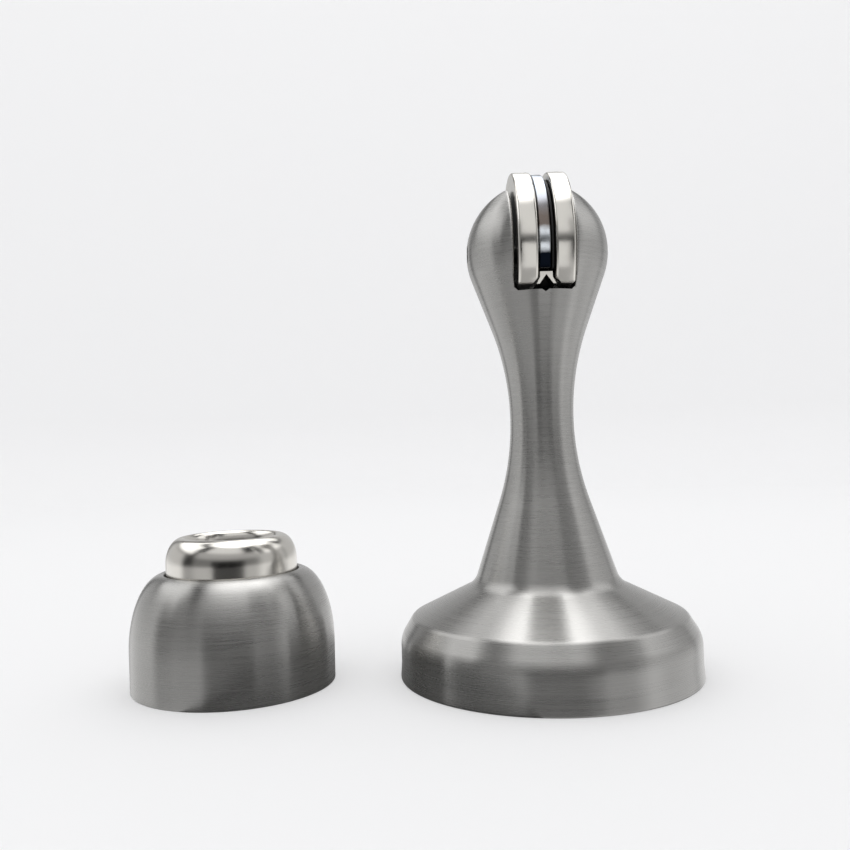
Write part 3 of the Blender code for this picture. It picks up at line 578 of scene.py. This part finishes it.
def flat_disc(radius, drop, corner, thickness, edge, hole, chamfer=0.0, side=1):
    """A disc standing upright with a flat foot, a round hole and rounded edges.

    The outline is a smaller disc's, moved out along its normals by the corner's radius less an inset.
    Rows carry it across the thickness with the inset edge (1 - cos a) at x = half - edge + edge sin a,
    then over both faces to the hole. The inner foot's chamfer holds x at or outside a 45 degree plane.
    """
    inner, low = radius - corner, drop - corner
    dip = asin(low / inner)
    round_edge = arc((0, 0), inner, -dip, pi + dip, 120)
    radial = round_edge / inner
    down = np.array([0.0, -1.0])
    turn_share = np.linspace(0, 1, 7)[1:, None]
    left_corner = radial[-1] + (down - radial[-1]) * turn_share
    right_corner = down + (radial[0] - down) * turn_share
    foot = line(round_edge[-1], round_edge[0], 30)
    left_base = np.broadcast_to(round_edge[-1], left_corner.shape)
    right_base = np.broadcast_to(round_edge[0], right_corner.shape)
    base = np.concatenate([round_edge, left_base, foot[1:-1], right_base])
    normal = np.concatenate([radial, left_corner, 0 * foot[1:-1] + down, right_corner])
    normal /= np.linalg.norm(normal, axis=1, keepdims=True)
    base[-1], normal[-1] = base[0], normal[0]
    a = np.linspace(0, pi / 2, 7)
    inset, x = edge * (1 - np.cos(a)), thickness / 2 - edge + edge * np.sin(a)
    inset, x = np.append(inset, [max(chamfer, 2 * edge)]), np.append(x, x[-1])
    around = np.arctan2(base[:, 1], base[:, 0])
    bore = np.stack([np.cos(around), np.sin(around)], 1) * hole
    outlines = base + normal * (corner - inset[:, None, None])
    face = outlines[-1] + (bore - outlines[-1]) * np.linspace(0, 1, 7)[1:, None, None]
    half_rows = np.concatenate([outlines, face])
    half_x = np.append(x, np.full(6, x[-1]))
    rows = np.concatenate([half_rows[::-1], half_rows, bore[None]])
    depth = np.concatenate([-half_x[::-1], half_x, [-half_x[-1]]])[:, None] + 0 * around
    if chamfer:
        limit = -thickness / 2 + chamfer - (rows[:, :, 1] + drop)
        depth = np.maximum(depth, limit)
    return np.stack([side * depth, rows[:, :, 0], rows[:, :, 1]], 2)


class DOORHOLDER_OT_pole_plates(bpy.types.Operator):
    """Makes the two nickel-plated pole plates"""

    bl_idname = "door_holder.pole_plates"
    bl_label = "Pole plates"

    def execute(self, context):
        s = context.scene.door_holder.pack
        height = context.scene.door_holder.post.ball_height
        finish = polished_nickel("plate_polished_nickel")
        for name, side in (("left", -1), ("right", 1)):
            grid = flat_disc(
                s.plate_radius, s.plate_foot, s.plate_corner, s.plate_thickness,
                s.plate_edge, s.sleeve_hole, s.foot_chamfer, side,
            )
            grid += (side * (s.plate_inner + s.plate_thickness / 2), 0, height)
            piece = new_piece(f"{name}_pole_plate", [grid])
            place(piece, "magnet_pack", "polished_nickel", finish, f"pole_plate_{name}")
        return {"FINISHED"}


class DOORHOLDER_OT_magnet(bpy.types.Operator):
    """Makes the magnet disc and the black spacer beside it"""

    bl_idname = "door_holder.magnet"
    bl_label = "Magnet and spacer"

    def execute(self, context):
        s = context.scene.door_holder.pack
        height = context.scene.door_holder.post.ball_height
        magnet = flat_disc(
            s.plate_radius - s.magnet_setback, s.magnet_foot, s.disc_corner,
            s.magnet_thickness, s.magnet_edge, s.sleeve_hole,
        )
        magnet += (-s.magnet_left + s.magnet_thickness / 2, 0, height)
        spacer = flat_disc(
            s.plate_radius - s.spacer_setback, s.magnet_foot, s.disc_corner,
            s.spacer_thickness, s.spacer_edge, s.sleeve_hole,
        )
        spacer += (s.magnet_left - s.spacer_thickness / 2, 0, height)
        place(new_piece("magnet_disc", [magnet]), "magnet_pack", "plated_magnet", plated_magnet(), "magnet")
        piece = new_piece("spacer", [spacer])
        place(piece, "magnet_pack", "black_plastic", black_plastic(), "magnet_spacer")
        return {"FINISHED"}


def keeper_grids(s):
    """The keeper's cross-section as a grid of rows from its top down to its feet, drawn out front to back.

    Each row spans u from -1 to 1. The top rows are half wide, the lowest is splayed, and the lowest
    row rises linearly to the inverted V's tip at u = 0, near both ends only.
    """
    top, foot = -s.magnet_foot - GAP, -s.plate_foot
    splay = s.keeper_half + s.keeper_splay
    notch = (splay - s.keeper_flat) / splay
    u = np.array([-1, -0.9, -notch, -notch / 2, 0, notch / 2, notch, 0.9, 1])
    rise = s.keeper_notch * np.maximum(1 - np.abs(u) / notch, 0)
    waist = foot + 2 * s.keeper_splay
    across = np.stack([u * s.keeper_half, u * s.keeper_half, u * splay])
    up = np.stack([top + 0 * u, np.maximum(waist, foot + rise + 0.25 * MM), foot + rise])
    half = s.keeper_length / 2
    ends = half - np.array([0, 1, s.keeper_dip / MM - 0.5, s.keeper_dip / MM]) * MM
    y = np.concatenate([-ends, [0], ends[::-1]])[:, None]
    reach = np.clip((np.abs(y) - half + s.keeper_dip) / (0.5 * MM), 0, 1)
    underside = foot + rise * reach
    sections = [(across[0], up[0]), (across[-1], underside)]
    sections += [(across[:, edge], up[:, edge]) for edge in (0, -1)]
    sides = [np.stack(np.broadcast_arrays(x, y, z), 2) for x, z in sections]
    caps = [np.stack([across, end + 0 * across, up], 2) for end in (-half, half)]
    return caps + sides


class DOORHOLDER_OT_keeper(bpy.types.Operator):
    """Makes the folded keeper under the magnet"""

    bl_idname = "door_holder.keeper"
    bl_label = "Keeper"

    def execute(self, context):
        s = context.scene.door_holder.pack
        height = context.scene.door_holder.post.ball_height
        piece = new_piece("keeper", [grid + (0, 0, height) for grid in keeper_grids(s)], 30)
        bevel = piece.modifiers.new("soft_edges", "BEVEL")
        bevel.width, bevel.segments, bevel.limit_method = 0.1 * MM, 2, "ANGLE"
        finish = polished_nickel("keeper_polished_nickel")
        place(piece, "magnet_pack", "polished_nickel", finish, "magnet_keeper")
        # The keeper's underside takes painted shade, nearly black, for the shade under it.
        piece.data.materials.append(painted_shade_steel())
        normals = np.empty(len(piece.data.polygons) * 3, np.float32)
        piece.data.polygons.foreach_get("normal", normals)
        piece.data.polygons.foreach_set("material_index", (normals[2::3] < -0.3).astype(np.int32))
        return {"FINISHED"}


# ---------------------------------------------------------------- catch


def closed(outline):
    """The outline with its first point repeated at its end."""
    return np.concatenate([outline, outline[:1]])


class DOORHOLDER_OT_catch_shell(bpy.types.Operator):
    """Makes the domed shell: a quarter ellipse from the lip to the upright wall, and the same inside"""

    bl_idname = "door_holder.catch_shell"
    bl_label = "Catch shell"

    def execute(self, context):
        s = context.scene.door_holder.catch
        foot = s.shell_radius - s.foot_taper
        wall, lip = s.shell_wall, s.lip_round
        centre = (s.lip_radius, s.wall_height)
        axes = (s.shell_radius - s.lip_radius, s.lip_height - s.wall_height)
        first = pi / 2 - 2.2 * lip / axes[0]
        outside = arc(centre, axes, first, 0, 48)
        low = rounded([tuple(outside[-1]) + (0,), (foot, 0, 0.2 * MM), (foot - wall / 2, 0, 0)])
        inside = arc(centre, (axes[0] - wall, axes[1] - wall), 0, pi / 2, 24)
        edge = [tuple(inside[-1]) + (0,), (s.lip_radius, s.lip_height, lip), tuple(outside[0]) + (0,)]
        outline = np.concatenate([outside, low[1:], [(foot - wall, 0)], inside, rounded(edge)[1:-1]])
        piece = new_piece("shell", [turned(dense(closed(outline), 0.8 * MM), 160, CATCH_AXIS)])
        finish = brushed_stainless("shell_brushed_stainless", CATCH_AXIS)
        place(piece, "catch", "catch_steel", finish, "catch_shell")
        return {"FINISHED"}


class DOORHOLDER_OT_strike_cup(bpy.types.Operator):
    """Makes the strike cup, with a quarter ellipse each side of its crest, a deep recess and a flange"""

    bl_idname = "door_holder.strike_cup"
    bl_label = "Strike cup"

    def execute(self, context):
        s = context.scene.door_holder.catch
        crest, top = s.cup_radius - s.rim_run, s.cup_top
        floor = top - s.recess_depth
        under = floor - s.cup_floor
        flange = s.cup_radius + s.flange_width
        axes = (s.shell_radius - s.lip_radius - s.shell_wall, s.lip_height - s.wall_height - s.shell_wall)
        dome = s.wall_height + axes[1] * sqrt(1 - ((flange - s.lip_radius) / axes[0]) ** 2)
        inner = arc((crest, top - s.mouth_rise), (s.mouth_run, s.mouth_rise), pi, pi / 2, 20)
        outer = arc((crest, top - s.rim_rise), (s.rim_run, s.rim_rise), pi / 2, 0, 36)
        recess = crest - s.mouth_run
        lower = rounded([
            (s.cup_radius, top - s.rim_rise, 0), (s.cup_radius, dome - 0.4 * MM, 0.2 * MM),
            (flange, dome - 0.4 * MM, 0.2 * MM), (flange, under, 0.2 * MM), (s.cup_hole, under, 0),
            (s.cup_hole, floor, 0.15 * MM), (recess, floor, 0.8 * MM), (recess, top - s.mouth_rise, 0),
        ])
        outline = np.concatenate([inner, outer[1:], lower[1:]])
        piece = new_piece("strike", [turned(dense(outline, 0.8 * MM), 160, CATCH_AXIS)])
        place(piece, "strike", "strike_nickel", polished_nickel("strike_polished_nickel"), "strike_cup")
        return {"FINISHED"}


def screw_grid(s):
    """A pan-head screw as a polar grid: rings from the middle of the head out, then down the shank.

    The head's top drops by the cross's depth wherever a point is within half an arm's width of either
    arm's middle line and within its reach, with a short smooth slope at the walls.
    """
    under = s.cup_top - s.recess_depth + s.washer_thickness + 2 * GAP
    top = under + s.head_height
    flat = s.cross_reach * 1.15
    flat_rings = 50
    pan = rounded([
        (flat, top, 0), (s.head_radius, top - 0.1 * MM, 0.9 * MM), (s.head_radius, under, 0.15 * MM),
        (s.screw_radius, under, 0), (s.screw_radius, s.screw_floor, 0.4 * MM), (0, s.screw_floor, 0),
    ])
    middle = line((0, top), (flat, top), flat_rings)
    outline = np.concatenate([middle, dense(pan, 1.5 * MM)[1:]])
    a = np.linspace(0, 2 * pi, 145)
    r, z = outline[:, :1], outline[:, 1:] + 0 * a
    along, across = np.abs(r * np.cos(a - radians(30))), np.abs(r * np.sin(a - radians(30)))
    long_way, short_way = np.maximum(along, across), np.minimum(along, across)
    outside = np.maximum(short_way - s.cross_half, long_way - s.cross_reach)
    wall = np.clip(0.5 - outside / (0.12 * MM), 0, 1)
    z[:flat_rings] -= (s.cross_depth * wall * wall * (3 - 2 * wall))[:flat_rings]
    return np.stack([CATCH_AXIS[0] + r * np.cos(a), CATCH_AXIS[1] + r * np.sin(a), z], 2)


class DOORHOLDER_OT_strike_screw(bpy.types.Operator):
    """Makes the screw and the washer in the cup's recess"""

    bl_idname = "door_holder.strike_screw"
    bl_label = "Strike screw"

    def execute(self, context):
        s = context.scene.door_holder.catch
        finish = zinc_plate("screw_zinc_plate")
        place(new_piece("screw", [screw_grid(s)]), "catch", "zinc_plate", finish, "strike_screw")
        low = s.cup_top - s.recess_depth + GAP
        high, soft = low + s.washer_thickness, 0.12 * MM
        middle = (s.washer_inner + s.washer_outer) / 2
        ring = rounded([
            (middle, high, 0), (s.washer_outer, high, soft), (s.washer_outer, low, soft),
            (s.washer_inner, low, soft), (s.washer_inner, high, soft), (middle, high, 0),
        ], 5)
        washer = new_piece("washer", [turned(dense(ring, 1 * MM), 72, CATCH_AXIS)])
        place(washer, "catch", "zinc_plate", finish, "screw_washer")
        return {"FINISHED"}


def coil_grid(s, low, high, radius):
    """A wire wound round the catch's axis: a circle at right angles to the helix, carried along its turns.

    The height climbs with the pitch, which eases to about half over the last three quarters of a
    turn at both ends. A first and a last row at the wire's centre close the ends.
    """
    turns = line(0, s.spring_turns, int(s.spring_turns * 40))
    pitch = np.clip(np.minimum(turns, s.spring_turns - turns) / 0.75, 0.48, 1)
    climbed = np.concatenate([[0], np.cumsum((pitch[1:] + pitch[:-1]) / 2)])
    a, height = 2 * pi * turns, low + (high - low) * climbed / climbed[-1]
    b = np.linspace(0, 2 * pi, 19)
    a, height = (np.concatenate([q[:1], q, q[-1:]])[:, None] for q in (a, height))
    wire = np.full_like(a, s.spring_wire)
    wire[[0, -1]] = 0
    r = radius + wire * np.cos(b)
    x, y = CATCH_AXIS[0] + r * np.cos(a), CATCH_AXIS[1] + r * np.sin(a)
    return np.stack([x, y, height + wire * np.sin(b)], 2)


class DOORHOLDER_OT_buffer_spring(bpy.types.Operator):
    """Makes the coil spring under the cup"""

    bl_idname = "door_holder.buffer_spring"
    bl_label = "Buffer spring"

    def execute(self, context):
        s = context.scene.door_holder.catch
        low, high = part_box("buffer_spring")
        radius = (high.x - low.x) / 2 - s.spring_wire
        coil = coil_grid(s, low.z + s.spring_wire, high.z - s.spring_wire, radius)
        piece = new_piece("coil_spring", [coil])
        place(piece, "catch", "spring_steel", spring_wire(), "buffer_spring")
        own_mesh(piece)
        return {"FINISHED"}


# ---------------------------------------------------------------- inner pieces kept from the CAD


class DOORHOLDER_OT_inner_pieces(bpy.types.Operator):
    """Gives the fixings, sleeve and bush their finishes"""

    bl_idname = "door_holder.inner_pieces"
    bl_label = "Inner pieces"

    def execute(self, context):
        fixings = ("floor_plate", "post_stud", "lock_washer", "lock_nut", "catch_base")
        finishes = dict.fromkeys(fixings, zinc_plate("fixing_zinc_plate"))
        finishes.update(pin_sleeve=brass(), guide_bush=nylon())
        for name, material in finishes.items():
            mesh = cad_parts[name].data
            mesh.materials.clear()
            mesh.materials.append(material)
        return {"FINISHED"}


# ---------------------------------------------------------------- finishes


def add(tree, kind, inputs, **settings):
    """Adds a node with its settings. Each input gets a value, or a link if it is given a socket."""
    node = tree.nodes.new(kind)
    for name, value in settings.items():
        setattr(node, name, value)
    for name, value in inputs.items():
        if isinstance(value, bpy.types.NodeSocket):
            tree.links.new(value, node.inputs[name])
        else:
            node.inputs[name].default_value = value
    return node


def new_material(name, colour, roughness, metallic=1.0):
    """A material with one shader, and the tree that holds it."""
    material = bpy.data.materials.new(name)
    material.use_nodes = True
    material.diffuse_color = (*colour, 1)
    shader = material.node_tree.nodes["Principled BSDF"]
    shader.inputs["Base Color"].default_value = (*colour, 1)
    shader.inputs["Roughness"].default_value = roughness
    shader.inputs["Metallic"].default_value = metallic
    return material, material.node_tree, shader


def finish_settings():
    """The finishes' colours and the width of the brushing's lines."""
    return bpy.context.scene.door_holder.finishes


def object_place(tree):
    """The place on the object, in its own coordinates."""
    return add(tree, "ShaderNodeTexCoord", {}).outputs["Object"]


def noise(tree, mm, detail):
    """Noise fixed to the object, with features about that many millimetres wide."""
    inputs = {"Vector": object_place(tree), "Scale": 1 / (mm * MM), "Detail": detail}
    return add(tree, "ShaderNodeTexNoise", inputs).outputs[0]


def spread(tree, value, low, high, start=0.0, end=1.0):
    """Carries value over from the range start to end to the range low to high."""
    inputs = {"Value": value, "From Min": start, "From Max": end, "To Min": low, "To Max": high}
    return add(tree, "ShaderNodeMapRange", inputs).outputs[0]


def vary_roughness(tree, shader, value, low, high, start=0.0, end=1.0):
    """Lets the roughness follow value, as spread does."""
    tree.links.new(spread(tree, value, low, high, start, end), shader.inputs["Roughness"])


def vary_height(tree, shader, value, strength, mm):
    """Lets the surface rise and fall with value, by that many millimetres."""
    bump = add(tree, "ShaderNodeBump", {"Height": value, "Strength": strength, "Distance": mm * MM})
    tree.links.new(bump.outputs[0], shader.inputs["Normal"])


def vector(tree, operation, *inputs, **named):
    """A vector sum of that kind."""
    return add(tree, "ShaderNodeVectorMath", {**dict(enumerate(inputs)), **named}, operation=operation)


def number(tree, operation, *inputs):
    """A sum of that kind."""
    return add(tree, "ShaderNodeMath", dict(enumerate(inputs)), operation=operation).outputs[0]


def brushed_stainless(name, axis):
    """Stainless steel turned and brushed round its axis with a fine abrasive belt."""
    # Fine lines run round the piece, so reflections stay fairly crisp from side to side and smear
    # along the profile. The lines are drawn several times wider than the abrasive's own, to show.
    s = finish_settings()
    material, tree, shader = new_material(name, s.steel, 0.3)
    centre = {"Vector": object_place(tree), "Location": (-axis[0], -axis[1], 0)}
    centred = add(tree, "ShaderNodeMapping", centre).outputs[0]
    flat = vector(tree, "MULTIPLY", centred, (1, 1, 0)).outputs[0]
    outward = vector(tree, "NORMALIZE", flat).outputs[0]
    radius = vector(tree, "LENGTH", flat).outputs["Value"]
    height = add(tree, "ShaderNodeSeparateXYZ", {0: centred}).outputs["Z"]
    # Height less radius changes steadily along the profile, on walls and shoulders alike.
    along = add(tree, "ShaderNodeCombineXYZ", {"Z": number(tree, "SUBTRACT", height, radius)}).outputs[0]
    stretched = vector(tree, "MULTIPLY", outward, (1.6, 1.6, 0)).outputs[0]
    lines_at = vector(tree, "MULTIPLY_ADD", along, (1 / s.brush_width,) * 3, stretched).outputs[0]
    line_inputs = {"Vector": lines_at, "Scale": 1, "Detail": 3, "Roughness": 0.65}
    lines = add(tree, "ShaderNodeTexNoise", line_inputs).outputs[0]
    rough = spread(tree, lines, 0.24, 0.29, 0.3, 0.7)
    uneven = number(tree, "MULTIPLY_ADD", noise(tree, 9, 2), 0.03, rough)
    tree.links.new(uneven, shader.inputs["Roughness"])
    shade = spread(tree, lines, 0.88, 1.1, 0.25, 0.75)
    colour = vector(tree, "SCALE", tuple(s.steel), Scale=shade).outputs[0]
    tree.links.new(colour, shader.inputs["Base Color"])
    vary_height(tree, shader, lines, 0.18, 0.01)
    around = vector(tree, "CROSS_PRODUCT", (0, 0, 1), outward).outputs[0]
    tree.links.new(around, shader.inputs["Tangent"])
    shader.inputs["Anisotropic"].default_value = 1.0
    shader.inputs["Anisotropic Rotation"].default_value = 0.25
    return material


def painted_shade_steel():
    """Painted shade: a dull, nearly black steel for the slot's walls and the keeper's underside."""
    # Dull and nearly black as painted shade, for the shade inside the slot and under the keeper; its
    # roughness varies a little.
    if "slot_and_underside_painted_shade" in bpy.data.materials:
        return bpy.data.materials["slot_and_underside_painted_shade"]
    material, tree, shader = new_material("slot_and_underside_painted_shade", finish_settings().slot, 0.55)
    vary_roughness(tree, shader, noise(tree, 0.8, 3), 0.45, 0.65)
    return material


def polished_nickel(name):
    """Bright nickel plate over polished steel."""
    # Soft mirror with a slightly warm cast, a faint ripple and hazier spots where it was handled.
    material, tree, shader = new_material(name, finish_settings().nickel, 0.2)
    vary_roughness(tree, shader, noise(tree, 3, 4), 0.17, 0.24, 0.3, 0.7)
    vary_height(tree, shader, noise(tree, 1.6, 1), 0.05, 0.02)
    return material


def plated_magnet():
    """Sintered magnet with a thin bluish nickel and zinc plate."""
    # Bluish and satin, with painted light in bands by height: a painted shade band above the middle, a
    # painted highlight across the middle and painted shade near the foot, where the plates shade it.
    s = finish_settings()
    material, tree, shader = new_material("plated_magnet", s.magnet, 0.2)
    grain = noise(tree, 2, 5)
    height = add(tree, "ShaderNodeSeparateXYZ", {0: object_place(tree)}).outputs["Z"]
    wavy = number(tree, "MULTIPLY_ADD", grain, 1.2 * MM, height)
    low, high = 60, 80  # heights in millimetres that the colours span
    ramp = add(tree, "ShaderNodeValToRGB", {"Fac": spread(tree, wavy, 0, 1, low * MM, high * MM)})
    stops = ramp.color_ramp.elements
    # Painted light by height: painted shade at the foot, a painted highlight across the middle, a painted
    # shade band above it.
    painted_light_bands = ((68.6, s.painted_foot_shade), (69.4, s.bright), (72, s.bright), (73, s.painted_shade_band), (74.4, s.painted_shade_band))
    for mm, colour in painted_light_bands:
        stops.new((mm - low) / (high - low)).color = (*colour, 1)
    stops[0].color, stops[-1].color = (*s.painted_foot_shade, 1), (*s.magnet, 1)
    tree.links.new(ramp.outputs[0], shader.inputs["Base Color"])
    vary_roughness(tree, shader, grain, 0.12, 0.28, 0.3, 0.7)
    vary_height(tree, shader, grain, 0.2, 0.03)
    return material


def black_plastic():
    """Die-cut black plastic film."""
    # Matt and black, with a fine leathery grain.
    material, tree, shader = new_material("black_plastic", finish_settings().spacer, 0.6, 0.0)
    vary_roughness(tree, shader, noise(tree, 0.3, 3), 0.5, 0.75)
    return material


def ground_steel():
    """Hardened pin, ground to size."""
    # Satin grey, with fine marks from grinding on its ends.
    material, tree, shader = new_material("ground_steel", finish_settings().pin, 0.28)
    vary_roughness(tree, shader, noise(tree, 0.35, 3), 0.2, 0.4)
    return material


def zinc_plate(name):
    """Bright zinc plate on pressed and turned steel."""
    # Cool grey and softly mottled, as the zinc's crystals catch the light unevenly.
    material, tree, shader = new_material(name, finish_settings().zinc, 0.3)
    inputs = {"Vector": object_place(tree), "Scale": 1 / (1.2 * MM), "Smoothness": 0.7}
    crystals = add(tree, "ShaderNodeTexVoronoi", inputs, feature="SMOOTH_F1").outputs[0]
    vary_roughness(tree, shader, crystals, 0.24, 0.42)
    return material


def brass():
    """Turned brass."""
    # Yellow, bright inside and duller where it was cut.
    material, tree, shader = new_material("turned_brass", finish_settings().brass, 0.25)
    vary_roughness(tree, shader, noise(tree, 0.4, 2), 0.18, 0.36)
    return material


def nylon():
    """Moulded natural nylon."""
    # Milky and faintly waxy, letting a little light in.
    material, tree, shader = new_material("moulded_nylon", finish_settings().nylon, 0.42, 0.0)
    shader.inputs["IOR"].default_value = 1.53
    shader.inputs["Subsurface Weight"].default_value = 0.2
    shader.inputs["Subsurface Scale"].default_value = 0.5 * MM
    vary_roughness(tree, shader, noise(tree, 0.5, 2), 0.36, 0.5)
    return material


def spring_wire():
    """Drawn spring wire."""
    # Grey with a faint blue scale from its heat treatment, duller in patches.
    material, tree, shader = new_material("spring_wire", finish_settings().spring, 0.32)
    vary_roughness(tree, shader, noise(tree, 0.6, 3), 0.25, 0.45)
    return material


# ---------------------------------------------------------------- stage


# The light tent's panels, seen from the object. Azimuth 0 is towards the camera and grows to the
# right; elevation 90 is overhead. Each has its middle and half size in degrees, the width of its
# soft edge, and its brightness.
PANELS = {
    "floor": ((0, 181), (-48, 47), 11, 0.41),
    "right_side": ((92, 32), (5, 27), 17, 0.55),
    "left_side": ((-111, 29), (4, 22), 14, 0.60),
    "back": ((170, 43), (8, 26), 10, 0.56),
    "right_upper": ((102, 25), (47, 18), 10, 1.22),
    "left_upper": ((-104, 34), (43, 14), 7, 1.63),
    "overhead": ((0, 181), (85, 17), 14, 2.70),
    "overhead_back": ((167, 66), (67, 12), 11, 1.51),
    "back_high": ((173, 30), (54, 14), 7, 1.54),
    "front_high": ((-7, 40), (52, 12), 12, 0.82),
    "floor_right": ((53, 30), (-31, 16), 14, 0.43),
    "floor_left": ((-55, 33), (-28, 13), 14, 0.34),
    "front_haze": ((0, 60), (16, 26), 12, 0.17),
    "front_middle": ((0, 60), (30, 9), 12, 0.26),
    "camera_side": ((3, 27), (0, 14), 8, -0.5),
}
TENT_LEVEL = 0.02
CARDS = ((53, 71.5), (77.5, 96))  # heights of the white cards in front of the head


def tent_brightness(azimuth, elevation):
    """Sum of the panels. Each is one inside its half sizes and falls off smoothly over its soft edge."""
    total = np.full_like(azimuth, TENT_LEVEL)
    for (middle, reach), (height, rise), soft, level in PANELS.values():
        aside = np.abs((azimuth - middle + 180) % 360 - 180) - reach
        above = np.abs(elevation - height) - rise
        inside = np.clip(0.5 - np.stack([aside, above]) / soft, 0, 1)
        total += level * np.prod(inside * inside * (3 - 2 * inside), axis=0)
    return np.maximum(total, 0)


def glowing(name):
    """A material that gives off light, and its emission node."""
    material = bpy.data.materials.new(name)
    material.use_nodes = True
    tree = material.node_tree
    tree.nodes.clear()
    glow = add(tree, "ShaderNodeEmission", {})
    add(tree, "ShaderNodeOutputMaterial", {"Surface": glow.outputs[0]})
    return material, glow


def only_reflected(piece, material):
    """Makes a piece part of the stage, seen by reflections and by nothing else."""
    piece.data.materials.append(material)
    for rays in ("camera", "diffuse", "shadow", "transmission", "volume_scatter"):
        setattr(piece, f"visible_{rays}", False)


class DOORHOLDER_OT_stage(bpy.types.Operator):
    """Makes the floor, the backdrop, the light tent and the camera"""

    bl_idname = "door_holder.stage"
    bl_label = "Stage"

    def execute(self, context):
        s = context.scene.door_holder.stage
        self.make_floor(s)
        self.make_tent(s)
        self.make_cards(s)
        self.make_camera(context, s)
        return {"FINISHED"}

    def make_floor(self, s):
        """A round floor that bends up into the backdrop: line, quarter circle and line, carried round Z."""
        edge, bend = s.floor_radius, s.bend_radius
        outline = rounded([(0, 0, 0), (edge, 0, bend), (edge, s.wall_height, 0)], 12)
        floor = new_piece("floor", [turned(dense(outline, 60 * MM), 96)])
        material, _, shader = new_material("matt_paper", s.floor, 0.9, 0.0)
        shader.inputs["Specular IOR Level"].default_value = 0.1
        shader.inputs["Emission Color"].default_value = (1, 1, 1, 1)
        shader.inputs["Emission Strength"].default_value = s.glow
        floor.data.materials.append(material)
        floor.visible_glossy = False
        floor.visible_shadow = False
        world = bpy.data.worlds.new("even_light")
        bpy.context.scene.world = world
        world.use_nodes = True
        background = world.node_tree.nodes["Background"]
        background.inputs["Color"].default_value = (1, 1, 1, 1)
        background.inputs["Strength"].default_value = s.sky

    def make_tent(self, s):
        """A sphere that only reflections see, with its brightness worked out at each point's direction."""
        azimuth, elevation = np.meshgrid(np.linspace(-180, 180, 361), np.linspace(-90, 90, 181))
        a, e = np.radians(azimuth), np.radians(elevation)
        ring = np.stack([np.cos(e) * np.sin(a), -np.cos(e) * np.cos(a), np.sin(e)], 2)
        tent = new_piece("light_tent", [ring * s.tent_radius])
        tent.data.flip_normals()
        co = np.empty(len(tent.data.vertices) * 3, np.float32)
        tent.data.vertices.foreach_get("co", co)
        x, y, z = co.reshape(-1, 3).T
        bright = tent_brightness(np.degrees(np.arctan2(x, -y)), np.degrees(np.arctan2(z, np.hypot(x, y))))
        attribute = tent.data.attributes.new("brightness", "FLOAT", "POINT")
        attribute.data.foreach_set("value", bright.astype(np.float32))
        material, glow = glowing("tent_light")
        tree = material.node_tree
        level = add(tree, "ShaderNodeAttribute", {}, attribute_name="brightness")
        scaled = add(tree, "ShaderNodeMath", {0: level.outputs["Fac"], 1: s.tent}, operation="MULTIPLY")
        tree.links.new(scaled.outputs[0], glow.inputs["Strength"])
        only_reflected(tent, material)

    def make_cards(self, s):
        """Two flat white cards in front of the head, and a round table top, that only reflections see."""
        grids = []
        for low, high in CARDS:
            across, up = np.meshgrid(line(s.card_left, s.card_right, 2), line(low * MM, high * MM, 2))
            grids.append(np.stack([across, s.card_place + 0 * up, up], 2))
        cards = new_piece("head_cards", grids)
        material, glow = glowing("card_light")
        glow.inputs["Strength"].default_value = s.card_light
        only_reflected(cards, material)
        top = 0.02 * MM  # just above the floor
        disc = turned(np.array([(0, top), (s.table_radius, top)]), 64, (s.table_place, 0))
        material, _, shader = new_material("grey_card", s.table, 1.0, 0.0)
        shader.inputs["Specular IOR Level"].default_value = 0.0
        only_reflected(new_piece("table", [disc]), material)

    def make_camera(self, context, s):
        """A camera that stands and leans as the settings say, with no colour look over the render."""
        camera = bpy.data.objects.new("camera", bpy.data.cameras.new("camera"))
        context.scene.collection.objects.link(camera)
        camera.data.lens, camera.data.sensor_width = s.lens, 36
        camera.data.clip_start, camera.data.clip_end = 5 * MM, 20
        down = Matrix.Rotation(pi / 2 - s.camera_pitch, 4, "X")
        lean = Matrix.Rotation(s.camera_roll, 4, "Z")
        camera.matrix_world = Matrix.Translation(s.camera_place) @ down @ lean
        context.scene.camera = camera
        context.scene.view_settings.view_transform = "Standard"
        context.scene.view_settings.look = "None"


# ---------------------------------------------------------------- add-on


class DOORHOLDER_PT_panel(bpy.types.Panel):
    """Lists the pieces to make, in order"""

    bl_idname = "DOORHOLDER_PT_panel"
    bl_label = "Door holder"
    bl_space_type = "VIEW_3D"
    bl_region_type = "UI"
    bl_category = "Door holder"

    def draw(self, context):
        for operator in OPERATORS:
            self.layout.operator(operator.bl_idname)
        for group in ("post", "pack", "catch", "finishes", "stage"):
            settings = getattr(context.scene.door_holder, group)
            box = self.layout.box()
            box.label(text=group.capitalize())
            for name in settings.__annotations__:
                box.prop(settings, name)


GROUPS = (PostSizes, PackSizes, CatchSizes, Finishes, StageSettings, DoorHolder)
OPERATORS = (
    DOORHOLDER_OT_post,
    DOORHOLDER_OT_pivot_pin,
    DOORHOLDER_OT_pole_plates,
    DOORHOLDER_OT_magnet,
    DOORHOLDER_OT_keeper,
    DOORHOLDER_OT_catch_shell,
    DOORHOLDER_OT_strike_cup,
    DOORHOLDER_OT_strike_screw,
    DOORHOLDER_OT_buffer_spring,
    DOORHOLDER_OT_inner_pieces,
    DOORHOLDER_OT_stage,
)


def register():
    for cls in (*GROUPS, *OPERATORS, DOORHOLDER_PT_panel):
        bpy.utils.register_class(cls)
    bpy.types.Scene.door_holder = PointerProperty(type=DoorHolder)


def unregister():
    del bpy.types.Scene.door_holder
    for cls in reversed((*GROUPS, *OPERATORS, DOORHOLDER_PT_panel)):
        bpy.utils.unregister_class(cls)


def main():
    """Makes every piece in order."""
    register()
    for operator in OPERATORS:
        group, name = operator.bl_idname.split(".")
        getattr(getattr(bpy.ops, group), name)()


if __name__ == "__main__":
    main()
